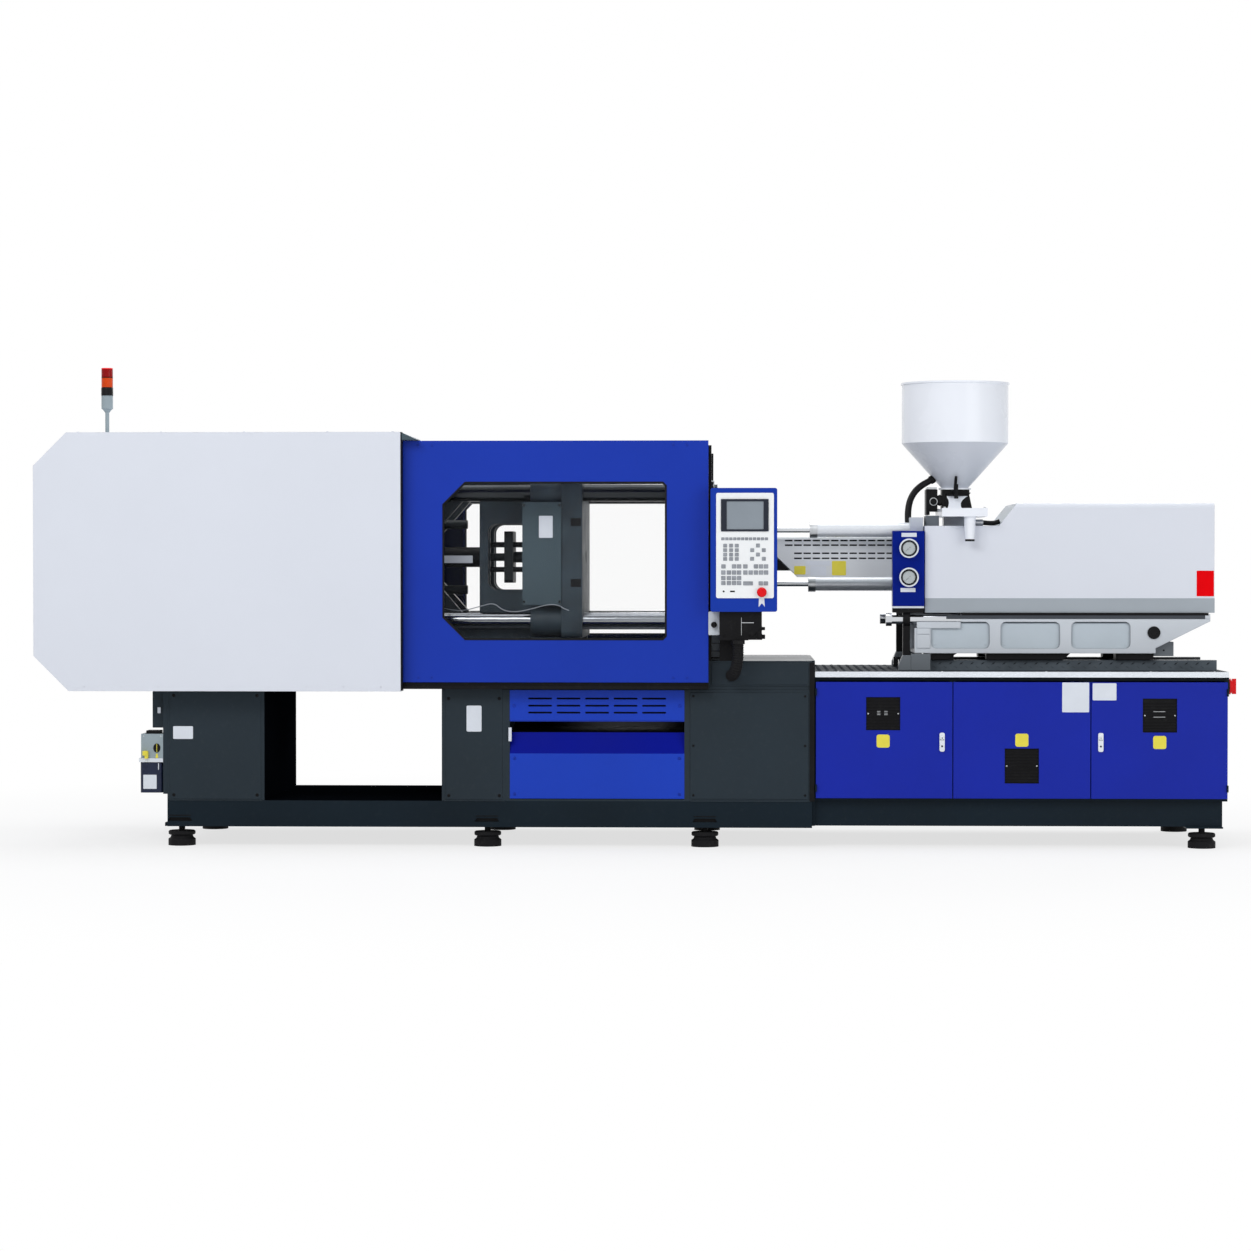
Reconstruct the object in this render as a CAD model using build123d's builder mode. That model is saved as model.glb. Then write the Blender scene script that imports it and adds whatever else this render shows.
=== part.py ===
from build123d import *
from math import acos, cos, degrees, radians, sin
import os

# A two-hundred-tonne injection moulding machine, in millimetres.
# X runs along the machine from the clamp to the injection unit, Y towards the rear, Z up.
# The origin is on the floor under the middle of the machine, and the clamp axis lies over Y = 0.

os.makedirs("parts", exist_ok=True)

# Driving sizes: the floor, the base of the clamp and the deck on it
axis_z = 1292
foot_height = 87
base_half_width = 520
base_wall = 16
base_left = -2093
base_right = 785
beam_top = 204
deck_top = 829
deck_skirt_bottom = 718
deck_plate = 20
left_pedestal_right = -1657
middle_pedestal_left = -863
middle_pedestal_right = -574
chute_bay_left = -559
chute_bay_right = 234

# Driving sizes: the clamp
tie_half = 289
tie_radius = 39
running_fit = 0.3
platen_half = 365
mould_plate = 94
mould_face_x = -244
fixed_face_x = 139
fixed_platen_thickness = 170
moving_platen_length = 471
tail_platen_thickness = 200
tail_gap = 120
link_length = 330
pivot_height = 353
pivot_behind_platen = 58
mould_height_min = 150
closed_angle = 4
crank_radius = 190
crank_angle = 18
way_height = 50
way_width = 70

# Driving sizes: covers and gates
cover_front = 650
cover_left = -2666
cover_right = -1033
cover_bottom = 696
cover_top = 1842
cover_sheet = 4
cover_corner_top = 148
cover_corner_bottom = 156
gate_front = 590
gate_depth = 28
gate_left = -1050
gate_right = 325
gate_bottom = 735
gate_top = 1805
window_left = -849
window_right = 137
window_bottom = 926
window_top = 1619
window_corner = 97
window_corner_small = 14
pane_thickness = 5
pane_lap = 12
rail_bottom = 705

# Driving sizes: the injection base
cabinet_left = 798
cabinet_right = 2623
cabinet_half_depth = 490
cabinet_bottom = 207
cabinet_top = 757
cabinet_beam_bottom = 94
bed_thickness = 25
bed_half_width = 520
door_thickness = 29
door_bottom = 220
door_top = 736
door_seam_1 = 1408
door_seam_2 = 2017
seam_gap = 4
rail_height = 46
rail_half_gauge = 260
rail_width = 60

# Driving sizes: the injection unit
carriage_left = 1248
carriage_right = 2568
carriage_half_width = 330
carriage_bottom = 859
carriage_top = 1035
cowl_left = 1295
cowl_right = 2587
cowl_half_width = 320
cowl_bottom = 1041
cowl_low_top = 1431
cowl_top = 1532
cowl_step_left = 1626
cowl_step_right = 1707
cowl_sheet = 4
barrel_radius = 55
barrel_bore = 25.3
screw_radius = 25
nozzle_tip_x = 186
barrel_front_x = 345
barrel_rear_x = 1540
hopper_x = 1449
hopper_radius = 243
hopper_rim_z = 2088
hopper_shoulder_z = 1812
hopper_mouth_z = 1600
hopper_mouth_radius = 58
hopper_sheet = 3
carriage_cylinder_rise = 123
carriage_cylinder_side = 170

# Derived places of the clamp
mould_gap = fixed_face_x - mould_face_x
closing_travel = mould_gap - mould_height_min
rest_angle = degrees(acos(cos(radians(closed_angle)) - closing_travel / (2 * link_length)))
platen_back_x = mould_face_x - moving_platen_length
plate_back_x = mould_face_x - mould_plate
front_pivot_x = platen_back_x - pivot_behind_platen
rear_pivot_x = front_pivot_x - 2 * link_length * cos(radians(rest_angle))
tail_front_x = rear_pivot_x - tail_gap
tail_back_x = tail_front_x - tail_platen_thickness
fixed_back_x = fixed_face_x + fixed_platen_thickness
bed_top = cabinet_top + bed_thickness
rail_top = bed_top + rail_height
print("rest angle", round(rest_angle, 3), "rear pivot x", round(rear_pivot_x, 3), "front pivot x", front_pivot_x)


def block(x0, x1, y0, y1, z0, z1, mode=Mode.ADD):
    """A rectangular block between two corners, in the part that is being built."""
    with Locations(((x0 + x1) / 2, (y0 + y1) / 2, (z0 + z1) / 2)):
        Box(x1 - x0, y1 - y0, z1 - z0, mode=mode)


def side_plane(y):
    """The upright plane along the machine at depth y; its sketches are (X, Z) and it faces the front."""
    return Plane.XZ.offset(-y)


def end_plane(x):
    """The upright plane across the machine at x; its sketches are (Y, Z) and it faces +X."""
    return Plane.YZ.offset(x)


def rod_x(x0, x1, y, z, radius, mode=Mode.ADD):
    """A round rod or bore along X."""
    with BuildSketch(end_plane(x0)) as section:
        with Locations((y, z)):
            Circle(radius)
    extrude(section.sketch, amount=x1 - x0, mode=mode)


def rod_y(x, z, y0, y1, radius, mode=Mode.ADD):
    """A round pin or bore along Y."""
    with BuildSketch(side_plane(y1)) as section:
        with Locations((x, z)):
            Circle(radius)
    extrude(section.sketch, amount=y1 - y0, mode=mode)


def finish(part, name):
    """Label a finished piece and write it."""
    part.part.label = name
    export_step(part.part, f"parts/{name}.step")
    print(name, "solids", len(part.part.solids()))


# Clamp base frame: a welded plate frame, open underneath, with a gap through it and a bay for the chute
drop_left = -263
drop_right = 117
drop_half_width = 240
foot_plate = 70
foot_inset = 56
foot_past_chute = 75
foot_before_chute = 88
clamp_feet_x = (base_left + foot_inset, middle_pedestal_right - foot_before_chute, chute_bay_right + foot_past_chute)
cabinet_foot_x = cabinet_right - 110
foot_y = base_half_width - foot_inset
chute_bay_bottom = 212
chute_bay_top = 700


def cavity(x0, x1, z1):
    """Hollow out a stretch of the base from below, leaving its plates."""
    block(x0 + base_wall, x1 - base_wall, -base_half_width + base_wall, base_half_width - base_wall,
          foot_height, z1, Mode.SUBTRACT)


with BuildPart() as clamp_base_frame:
    block(base_left, base_right, -base_half_width, base_half_width, foot_height, deck_top)
    block(left_pedestal_right, middle_pedestal_left, -base_half_width, base_half_width,
          beam_top, deck_skirt_bottom, Mode.SUBTRACT)
    cavity(base_left, left_pedestal_right, deck_top - deck_plate)
    cavity(left_pedestal_right - base_wall, middle_pedestal_left + base_wall, beam_top - base_wall)
    cavity(middle_pedestal_left, middle_pedestal_right, deck_top - deck_plate)
    cavity(middle_pedestal_right - base_wall, chute_bay_right + base_wall, deck_top - deck_plate)
    cavity(chute_bay_right, base_right, deck_top - deck_plate)
    block(left_pedestal_right, middle_pedestal_left, -base_half_width + base_wall,
          base_half_width - base_wall, deck_skirt_bottom, deck_top - deck_plate, Mode.SUBTRACT)
    block(chute_bay_left, chute_bay_right - base_wall, -base_half_width, -base_half_width + base_wall,
          chute_bay_bottom, chute_bay_top, Mode.SUBTRACT)
    block(drop_left, drop_right, -drop_half_width, drop_half_width,
          deck_top - deck_plate, deck_top, Mode.SUBTRACT)
    for x in clamp_feet_x:
        for side in (-1, 1):
            inner = side * (foot_y - foot_plate)
            outer = side * (base_half_width - base_wall)
            block(x - foot_plate, x + foot_plate, min(inner, outer), max(inner, outer),
                  foot_height, foot_height + base_wall)
    # a cut-out with sloping sides in the beam over each foot
    with BuildSketch(side_plane(base_half_width)):
        for x in clamp_feet_x:
            with Locations((x, foot_height + 2 * base_wall)):
                Trapezoid(110, base_wall, 60)
    extrude(amount=2 * base_half_width, mode=Mode.SUBTRACT)
    # the skirt's seam below the deck
    block(base_left, base_right, -base_half_width, -base_half_width + 5,
          chute_bay_top, deck_skirt_bottom, Mode.SUBTRACT)

# Levelling feet: a rubber pad, a pressed steel cup, a lock nut and a stud up to the foot plate
pad_radius = 61
pad_height = 36
cup_height = 12
stud_radius = 14

with BuildPart() as levelling_feet:
    feet = [(x, side * foot_y) for x in clamp_feet_x + (cabinet_foot_x,) for side in (-1, 1)]
    for x, y in feet:
        plane = Plane(origin=(x, y, 0), x_dir=(1, 0, 0), z_dir=(0, -1, 0))
        with BuildSketch(plane):
            with BuildLine():
                Polyline(
                    (0, 0), (pad_radius, 0), (pad_radius, pad_height - 8), (pad_radius - 10, pad_height),
                    (pad_radius - 14, pad_height + cup_height), (2 * stud_radius, pad_height + cup_height),
                    (2 * stud_radius, pad_height + cup_height + 16), (stud_radius, pad_height + cup_height + 16),
                    (stud_radius, foot_height), (0, foot_height), (0, 0),
                )
            make_face()
        revolve(axis=Axis((x, y, 0), (0, 0, 1)))

# Parts chute: the slotted upper panel, the sloping chute tray and the lower panel, in the bay's front
vent_panel_bottom = 558
chute_lip_top = 509
chute_lip_bottom = 416
panel_sheet = 10
slot_length = 106
slot_height = 8
slot_pitch = 127
slot_rows = (661, 629, 598)
bay_centre = (chute_bay_left + chute_bay_right - base_wall) / 2
bay_gap = 3
bay_front = -base_half_width
tray_rise = 220

with BuildPart() as chute_panels:
    # the slotted panel
    with BuildSketch(side_plane(bay_front + panel_sheet)):
        with Locations((bay_centre, (vent_panel_bottom + chute_bay_top) / 2)):
            Rectangle(chute_bay_right - base_wall - chute_bay_left, chute_bay_top - vent_panel_bottom - bay_gap)
        for z in slot_rows:
            with Locations((bay_centre, z)):
                with GridLocations(slot_pitch, 1, 5, 1):
                    SlotOverall(slot_length, slot_height, mode=Mode.SUBTRACT)
    extrude(amount=panel_sheet)
    # the lower panel and the sloping tray behind it, folded from one sheet
    with BuildSketch(end_plane(chute_bay_left)):
        with BuildLine():
            Polyline(
                (bay_front, chute_bay_bottom + bay_gap), (bay_front, chute_lip_bottom),
                (bay_front + 34, chute_lip_top),
                (-drop_half_width, chute_lip_top + 14), (drop_half_width, chute_lip_top + tray_rise),
                (drop_half_width, chute_lip_top + tray_rise - panel_sheet),
                (-drop_half_width, chute_lip_top + 14 - panel_sheet),
                (bay_front + 34 + panel_sheet, chute_lip_top - panel_sheet),
                (bay_front + panel_sheet, chute_lip_bottom),
                (bay_front + panel_sheet, chute_bay_bottom + bay_gap),
                (bay_front, chute_bay_bottom + bay_gap),
            )
        make_face()
    extrude(amount=chute_bay_right - base_wall - chute_bay_left)

for piece, name in (
    (clamp_base_frame, "clamp_base_frame"),
    (levelling_feet, "levelling_feet"),
    (chute_panels, "chute_panels"),
):
    finish(piece, name)


# Clamp covers: two folded sheet shells that meet over the centre line, open towards the gates
def cover_outline(inset, right):
    """The cover's side view with its bevelled left corners, drawn inset by a sheet's thickness."""
    left = cover_left + inset
    low = cover_bottom + inset
    high = cover_top - inset
    return [
        (left, low + cover_corner_bottom), (left, high - cover_corner_top), (left + cover_corner_top, high),
        (right, high), (right, low), (left + cover_corner_bottom, low), (left, low + cover_corner_bottom),
    ]


def clamp_cover(side):
    """One half of the clamp's cover; side is -1 at the front and 1 at the rear."""
    start = -cover_front if side < 0 else 0
    with BuildPart() as cover:
        with BuildSketch(side_plane(start + cover_front)):
            with BuildLine():
                Polyline(*cover_outline(0, cover_right))
            make_face()
        extrude(amount=cover_front)
        inner_start = start + cover_sheet if side < 0 else 0
        with BuildSketch(side_plane(inner_start + cover_front - cover_sheet)):
            with BuildLine():
                Polyline(*cover_outline(cover_sheet, cover_right + 1))
            make_face()
        extrude(amount=cover_front - cover_sheet, mode=Mode.SUBTRACT)
        # the bottom is cut back to a flange round the base
        y0 = -base_half_width - running_fit if side < 0 else 0
        y1 = 0 if side < 0 else base_half_width + running_fit
        block(base_left - running_fit, cover_right, y0, y1, cover_bottom, cover_bottom + cover_sheet,
              Mode.SUBTRACT)
    return cover


clamp_cover_front = clamp_cover(-1)
clamp_cover_rear = clamp_cover(1)

# Signal tower: a foot, a pole, a lamp body with a black collar, and two lenses with a cap
tower_x = -2402
tower_y = -300
tower_radius = 26
pole_radius = 9
tower_foot_radius = 24
tower_foot_height = 8
tower_pole_length = 117
tower_body_height = 63
tower_collar_height = 37
tower_amber_height = 46
tower_red_height = 43
tower_body_bottom = cover_top + tower_pole_length
tower_body_top = tower_body_bottom + tower_body_height
tower_collar_top = tower_body_top + tower_collar_height
tower_amber_top = tower_collar_top + tower_amber_height
tower_red_top = tower_amber_top + tower_red_height

with BuildPart() as tower_light_stand:
    with BuildSketch(Plane(origin=(tower_x, tower_y, 0), x_dir=(1, 0, 0), z_dir=(0, -1, 0))):
        with BuildLine():
            Polyline(
                (0, cover_top), (tower_foot_radius, cover_top),
                (tower_foot_radius, cover_top + tower_foot_height),
                (pole_radius, cover_top + tower_foot_height + 8), (pole_radius, tower_body_bottom - 14),
                (tower_radius - 6, tower_body_bottom), (tower_radius, tower_body_bottom + 4),
                (tower_radius, tower_body_top), (tower_radius - 2, tower_body_top),
                (tower_radius - 2, tower_collar_top), (0, tower_collar_top), (0, cover_top),
            )
        make_face()
    revolve(axis=Axis((tower_x, tower_y, 0), (0, 0, 1)))

with BuildPart() as tower_light_lenses:
    for low, high in ((tower_collar_top, tower_amber_top), (tower_amber_top + running_fit, tower_red_top)):
        with BuildSketch(Plane.XY.offset(low)):
            with Locations((tower_x, tower_y)):
                Circle(tower_radius - 1)
        extrude(amount=high - low - 2)
        with BuildSketch(Plane.XY.offset(high - 2)):
            with Locations((tower_x, tower_y)):
                Circle(tower_radius)
        extrude(amount=2)


# Sliding gates: a sheet frame round a clear pane, at the front and at the rear
def window_outline():
    """The window's outline: bevelled corners on its left and small ones on its right."""
    small = window_corner_small
    return [
        (window_left, window_bottom + window_corner), (window_left, window_top - window_corner),
        (window_left + window_corner, window_top), (window_right - small, window_top),
        (window_right, window_top - small), (window_right, window_bottom + small),
        (window_right - small, window_bottom), (window_left + window_corner, window_bottom),
        (window_left, window_bottom + window_corner),
    ]


def gate_frame(side):
    """The gate's blue frame; side is -1 at the front and 1 at the rear."""
    far = -gate_front + gate_depth if side < 0 else gate_front
    with BuildPart() as frame:
        with BuildSketch(side_plane(far)):
            with Locations(((gate_left + gate_right) / 2, (gate_bottom + gate_top) / 2)):
                Rectangle(gate_right - gate_left, gate_top - gate_bottom)
            with BuildLine(mode=Mode.ADD):
                Polyline(*window_outline())
            make_face(mode=Mode.SUBTRACT)
        extrude(amount=gate_depth)
    return frame


def gate_pane(side):
    """The gate's clear pane, fixed to the inner face of its frame."""
    near = gate_front - gate_depth
    far = -near + pane_thickness if side < 0 else near
    with BuildPart() as pane:
        with BuildSketch(side_plane(far)):
            with Locations(((window_left + window_right) / 2, (window_bottom + window_top) / 2)):
                Rectangle(window_right - window_left + 2 * pane_lap, window_top - window_bottom + 2 * pane_lap)
        extrude(amount=pane_thickness)
    return pane


front_gate = gate_frame(-1)
rear_gate = gate_frame(1)
front_gate_window = gate_pane(-1)
rear_gate_window = gate_pane(1)

# Gate rails: a bottom runner on the base and a top runner on posts, on each side
rail_left = -2300
top_rail_low = 1745
top_rail_high = 1785
top_rail_depth = 33
post_width = 40
post_right = 338
post_left = -1900
rail_clear = 2
top_rail_outer = gate_front - gate_depth - pane_thickness - rail_clear

with BuildPart() as gate_rails:
    for side in (-1, 1):
        near, far = sorted((side * base_half_width, side * (gate_front + 4)))
        block(rail_left, gate_right, near, far, rail_bottom, rail_bottom + 14)
        # the raised runner that the gate's bottom edge rides on
        near, far = sorted((side * (gate_front - gate_depth / 2 - 5), side * (gate_front - gate_depth / 2 + 5)))
        block(rail_left, gate_right, near, far, rail_bottom + 14, gate_bottom - running_fit)
        near, far = sorted((side * top_rail_outer, side * (top_rail_outer - top_rail_depth)))
        block(rail_left, post_right, near, far, top_rail_low, top_rail_high)
        near, far = sorted((side * (top_rail_outer - top_rail_depth), side * (base_half_width - post_width)))
        for x in (post_left, post_right - post_width):
            block(x, x + post_width, near, far, top_rail_low, top_rail_high)
            near_p, far_p = sorted((side * base_half_width, side * (base_half_width - post_width)))
            block(x, x + post_width, near_p, far_p, deck_top, top_rail_high)

# Clamp ways: two hardened slideways on the deck under the platens
way_left = -1760

with BuildPart() as clamp_ways:
    for side in (-1, 1):
        middle = side * tie_half
        block(way_left, fixed_face_x, middle - way_width / 2, middle + way_width / 2, deck_top, deck_top + way_height)

for piece, name in (
    (clamp_cover_front, "clamp_cover_front"),
    (clamp_cover_rear, "clamp_cover_rear"),
    (tower_light_stand, "tower_light_stand"),
    (tower_light_lenses, "tower_light_lenses"),
    (front_gate, "front_gate"),
    (rear_gate, "rear_gate"),
    (front_gate_window, "front_gate_window"),
    (rear_gate_window, "rear_gate_window"),
    (gate_rails, "gate_rails"),
    (clamp_ways, "clamp_ways"),
):
    finish(piece, name)


# Clamp: tie bars with their nuts, the fixed platen, the tail platen and the adjusting nuts
tie_bar_left = -1790
tie_nut_radius = 62
tie_nut_length = 40
tie_bar_end = 14
adjusting_nut_radius = 72
adjusting_nut_length = 70
bore_radius = tie_radius + running_fit
corner_points = [(y, z) for y in (-tie_half, tie_half) for z in (axis_z - tie_half, axis_z + tie_half)]
shoe_top = axis_z - platen_half
way_top = deck_top + way_height
locating_bore_radius = 62.5
locating_bore_depth = 30
nozzle_hole_radius = 48
nozzle_cone_radius = 125
bolt_hole_radius = 7
bolt_hole_depth = 34
bolt_pitch = 210

with BuildPart() as tie_bars:
    for y, z in corner_points:
        rod_x(tie_bar_left, fixed_back_x + tie_nut_length + tie_bar_end, y, z, tie_radius)
        with BuildSketch(end_plane(fixed_back_x)):
            with Locations((y, z)):
                RegularPolygon(tie_nut_radius, 6)
                Circle(bore_radius, mode=Mode.SUBTRACT)
        extrude(amount=tie_nut_length)

with BuildPart() as fixed_platen:
    with BuildSketch(end_plane(fixed_face_x)):
        with Locations((0, axis_z)):
            RectangleRounded(2 * platen_half, 2 * platen_half, 30)
    extrude(amount=fixed_platen_thickness)
    for y, z in corner_points:
        rod_x(fixed_face_x, fixed_back_x, y, z, bore_radius, Mode.SUBTRACT)
    rod_x(fixed_face_x, fixed_face_x + locating_bore_depth, 0, axis_z, locating_bore_radius, Mode.SUBTRACT)
    rod_x(fixed_face_x, fixed_back_x, 0, axis_z, nozzle_hole_radius, Mode.SUBTRACT)
    with BuildSketch(end_plane(fixed_back_x)):
        with Locations((0, axis_z)):
            Circle(nozzle_cone_radius)
    with BuildSketch(end_plane(fixed_back_x - 100)):
        with Locations((0, axis_z)):
            Circle(nozzle_hole_radius + 12)
    loft(mode=Mode.SUBTRACT)
    with BuildSketch(end_plane(fixed_face_x)):
        with Locations((0, axis_z)):
            with GridLocations(bolt_pitch, bolt_pitch, 3, 3):
                Circle(bolt_hole_radius)
            Circle(locating_bore_radius, mode=Mode.SUBTRACT)
    extrude(amount=bolt_hole_depth, mode=Mode.SUBTRACT)
    # the feet that bolt down to the deck
    for side in (-1, 1):
        y0, y1 = sorted((side * (platen_half - 20), side * (tie_half - 60)))
        block(fixed_face_x + 10, fixed_back_x, y0, y1, deck_top, shoe_top)
        block(fixed_face_x + 10, fixed_back_x + 60, y0, y1, deck_top, deck_top + 36)

lug_radius = 62
pin_radius = 24
knee_pin_radius = 22
crank_pin_radius = 14
eye_inner = 150
eye_outer = 210
fork_inner = 112
fork_mid_in = 146
fork_mid_out = 214
fork_outer = 248
crank_link_inner = 84
crank_link_outer = 108
crosshead_half_width = 78


def hull_plate(points, y0, y1, mode=Mode.ADD):
    """A flat link plate: the hull round circles given as (x, z, radius), between two depths."""
    with BuildSketch(side_plane(y1)) as section:
        for x, z, radius in points:
            with Locations((x, z)):
                Circle(radius)
        make_hull()
    extrude(section.sketch, amount=y1 - y0, mode=mode)


def both_sides(inner, outer):
    """The two depth ranges, at the front and at the rear, of a pair of mirrored plates."""
    return ((-outer, -inner), (inner, outer))


lug_heights = (axis_z + pivot_height, axis_z - pivot_height)
crosshead_guide_radius = 20
crosshead_guide_rise = 150
crosshead_guide_end = -790
rod_radius = 35

with BuildPart() as tail_platen:
    with BuildSketch(end_plane(tail_back_x)):
        with Locations((0, axis_z)):
            RectangleRounded(2 * platen_half, 2 * platen_half, 30)
    extrude(amount=tail_platen_thickness)
    for y, z in corner_points:
        rod_x(tail_back_x, tail_front_x, y, z, bore_radius, Mode.SUBTRACT)
    for y0, y1 in both_sides(eye_inner, eye_outer):
        for z in lug_heights:
            inward = 1 if z < axis_z else -1
            hull_plate([(rear_pivot_x, z, lug_radius), (tail_front_x - 60, z + inward * 50, lug_radius)], y0, y1)
            rod_y(rear_pivot_x, z, y0, y1, pin_radius + running_fit, Mode.SUBTRACT)
    for side in (-1, 1):
        y0, y1 = sorted((side * (tie_half - way_width / 2), side * (tie_half + way_width / 2)))
        block(tail_back_x + 10, tail_front_x - 10, y0, y1, way_top + running_fit, shoe_top)
    rod_x(tail_back_x, tail_front_x, 0, axis_z, rod_radius + running_fit, Mode.SUBTRACT)
    # the crosshead's two guide bars
    for rise in (-crosshead_guide_rise, crosshead_guide_rise):
        rod_x(tail_front_x, crosshead_guide_end, 0, axis_z + rise, crosshead_guide_radius)

with BuildPart() as adjusting_nuts:
    for y, z in corner_points:
        with BuildSketch(end_plane(tail_back_x - adjusting_nut_length)):
            with Locations((y, z)):
                Circle(adjusting_nut_radius)
                Circle(bore_radius, mode=Mode.SUBTRACT)
        extrude(amount=adjusting_nut_length)
        with BuildSketch(end_plane(tail_back_x - adjusting_nut_length)):
            with Locations((y, z)):
                Circle(adjusting_nut_radius + 12)
                Circle(bore_radius, mode=Mode.SUBTRACT)
                with PolarLocations(adjusting_nut_radius + 12, 16):
                    SlotOverall(16, 8, mode=Mode.SUBTRACT)
        extrude(amount=22)

# Clamp cylinder on the tail platen's back: flange, tube and end cap round a bore
cylinder_flange = 40
cylinder_length = 540
cylinder_cap = 44
cylinder_radius = 85
cylinder_bore = 60
piston_length = 55
piston_setback = 285

cylinder_back_x = tail_back_x - cylinder_flange - cylinder_length
with BuildPart() as clamp_cylinder:
    rod_x(tail_back_x - cylinder_flange, tail_back_x, 0, axis_z, 125)
    rod_x(cylinder_back_x, tail_back_x - cylinder_flange, 0, axis_z, cylinder_radius)
    rod_x(cylinder_back_x - cylinder_cap, cylinder_back_x, 0, axis_z, 105)
    rod_x(cylinder_back_x, tail_back_x - cylinder_flange, 0, axis_z, cylinder_bore, Mode.SUBTRACT)
    rod_x(tail_back_x - cylinder_flange, tail_back_x, 0, axis_z, rod_radius + running_fit, Mode.SUBTRACT)

# Toggle: places of the knees, crank pivots and crosshead pivots at rest, from the rear pivots
def upper_point(radius, angle):
    """A point of the upper rear link at this distance and angle below the clamp direction."""
    return (rear_pivot_x + radius * cos(radians(angle)),
            axis_z + pivot_height - radius * sin(radians(angle)))


def flip(point):
    """The same point of the lower half of the toggle."""
    return (point[0], 2 * axis_z - point[1])


knee = upper_point(link_length, rest_angle)
crank = upper_point(crank_radius, rest_angle + crank_angle)
crosshead_x = rear_pivot_x + 2 * crank_radius * cos(radians(rest_angle + crank_angle))
knee_boss = 42
web_start = 120
web_end = 185
web_half_height = 24


def rear_link(flipped):
    """A forked rear link on each side, with its pins; the crank pivot is on the inner plates."""
    place = flip if flipped else (lambda point: point)
    root_x, root_z = place((rear_pivot_x, axis_z + pivot_height))
    knee_x, knee_z = place(knee)
    crank_x, crank_z = place(crank)
    with BuildPart() as link:
        for inner, outer in ((fork_inner, fork_mid_in), (fork_mid_out, fork_outer)):
            for y0, y1 in both_sides(inner, outer):
                hull_plate([(root_x, root_z, lug_radius - 12), (knee_x, knee_z, knee_boss)], y0, y1)
        for y0, y1 in both_sides(fork_inner, fork_mid_in):
            hull_plate([(root_x, root_z, lug_radius - 20), (crank_x, crank_z, 30)], y0, y1)
        # the web that ties the two plates of each fork
        near = place(upper_point((web_start + web_end) / 2, rest_angle))
        slope = rest_angle if flipped else -rest_angle
        for y0, y1 in both_sides(fork_mid_in, fork_mid_out):
            with BuildSketch(side_plane(y1)):
                with Locations(Location((near[0], near[1], 0), (0, 0, slope))):
                    Rectangle(web_end - web_start, 2 * web_half_height)
            extrude(amount=y1 - y0)
        for x, z, radius in ((root_x, root_z, pin_radius), (knee_x, knee_z, knee_pin_radius)):
            for y0, y1 in both_sides(fork_inner, fork_outer):
                rod_y(x, z, y0, y1, radius + running_fit, Mode.SUBTRACT)
        for y0, y1 in both_sides(fork_inner, fork_mid_in):
            rod_y(crank_x, crank_z, y0, y1, crank_pin_radius + running_fit, Mode.SUBTRACT)
        # the pins
        for x, z, radius in ((root_x, root_z, pin_radius), (knee_x, knee_z, knee_pin_radius)):
            for y0, y1 in both_sides(fork_inner, fork_outer):
                rod_y(x, z, y0, y1, radius)
        for y0, y1 in both_sides(crank_link_inner, fork_mid_in):
            rod_y(crank_x, crank_z, y0, y1, crank_pin_radius)
    return link


def front_link(flipped):
    """The pair of front links, from the knees to the moving platen's lugs."""
    place = flip if flipped else (lambda point: point)
    knee_x, knee_z = place(knee)
    front_x, front_z = place((front_pivot_x, axis_z + pivot_height))
    with BuildPart() as link:
        for y0, y1 in both_sides(eye_inner, eye_outer):
            hull_plate([(knee_x, knee_z, knee_boss), (front_x, front_z, knee_boss + 6)], y0, y1)
            rod_y(knee_x, knee_z, y0, y1, knee_pin_radius + running_fit, Mode.SUBTRACT)
            rod_y(front_x, front_z, y0, y1, pin_radius + running_fit, Mode.SUBTRACT)
    return link


def crank_link(flipped):
    """The pair of short links from the rear links to the crosshead."""
    place = flip if flipped else (lambda point: point)
    crank_x, crank_z = place(crank)
    head_x, head_z = place((crosshead_x, axis_z + pivot_height))
    with BuildPart() as link:
        for y0, y1 in both_sides(crank_link_inner, crank_link_outer):
            hull_plate([(crank_x, crank_z, 28), (head_x, head_z, 28)], y0, y1)
            rod_y(crank_x, crank_z, y0, y1, crank_pin_radius + running_fit, Mode.SUBTRACT)
            rod_y(head_x, head_z, y0, y1, crank_pin_radius + running_fit, Mode.SUBTRACT)
    return link


upper_rear_link = rear_link(False)
lower_rear_link = rear_link(True)
upper_front_link = front_link(False)
lower_front_link = front_link(True)
upper_crank_link = crank_link(False)
lower_crank_link = crank_link(True)

# Crosshead: a tall casting on the guide bars, its two cross pins and the piston rod
crosshead_half = 42
crosshead_boss = 40

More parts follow.
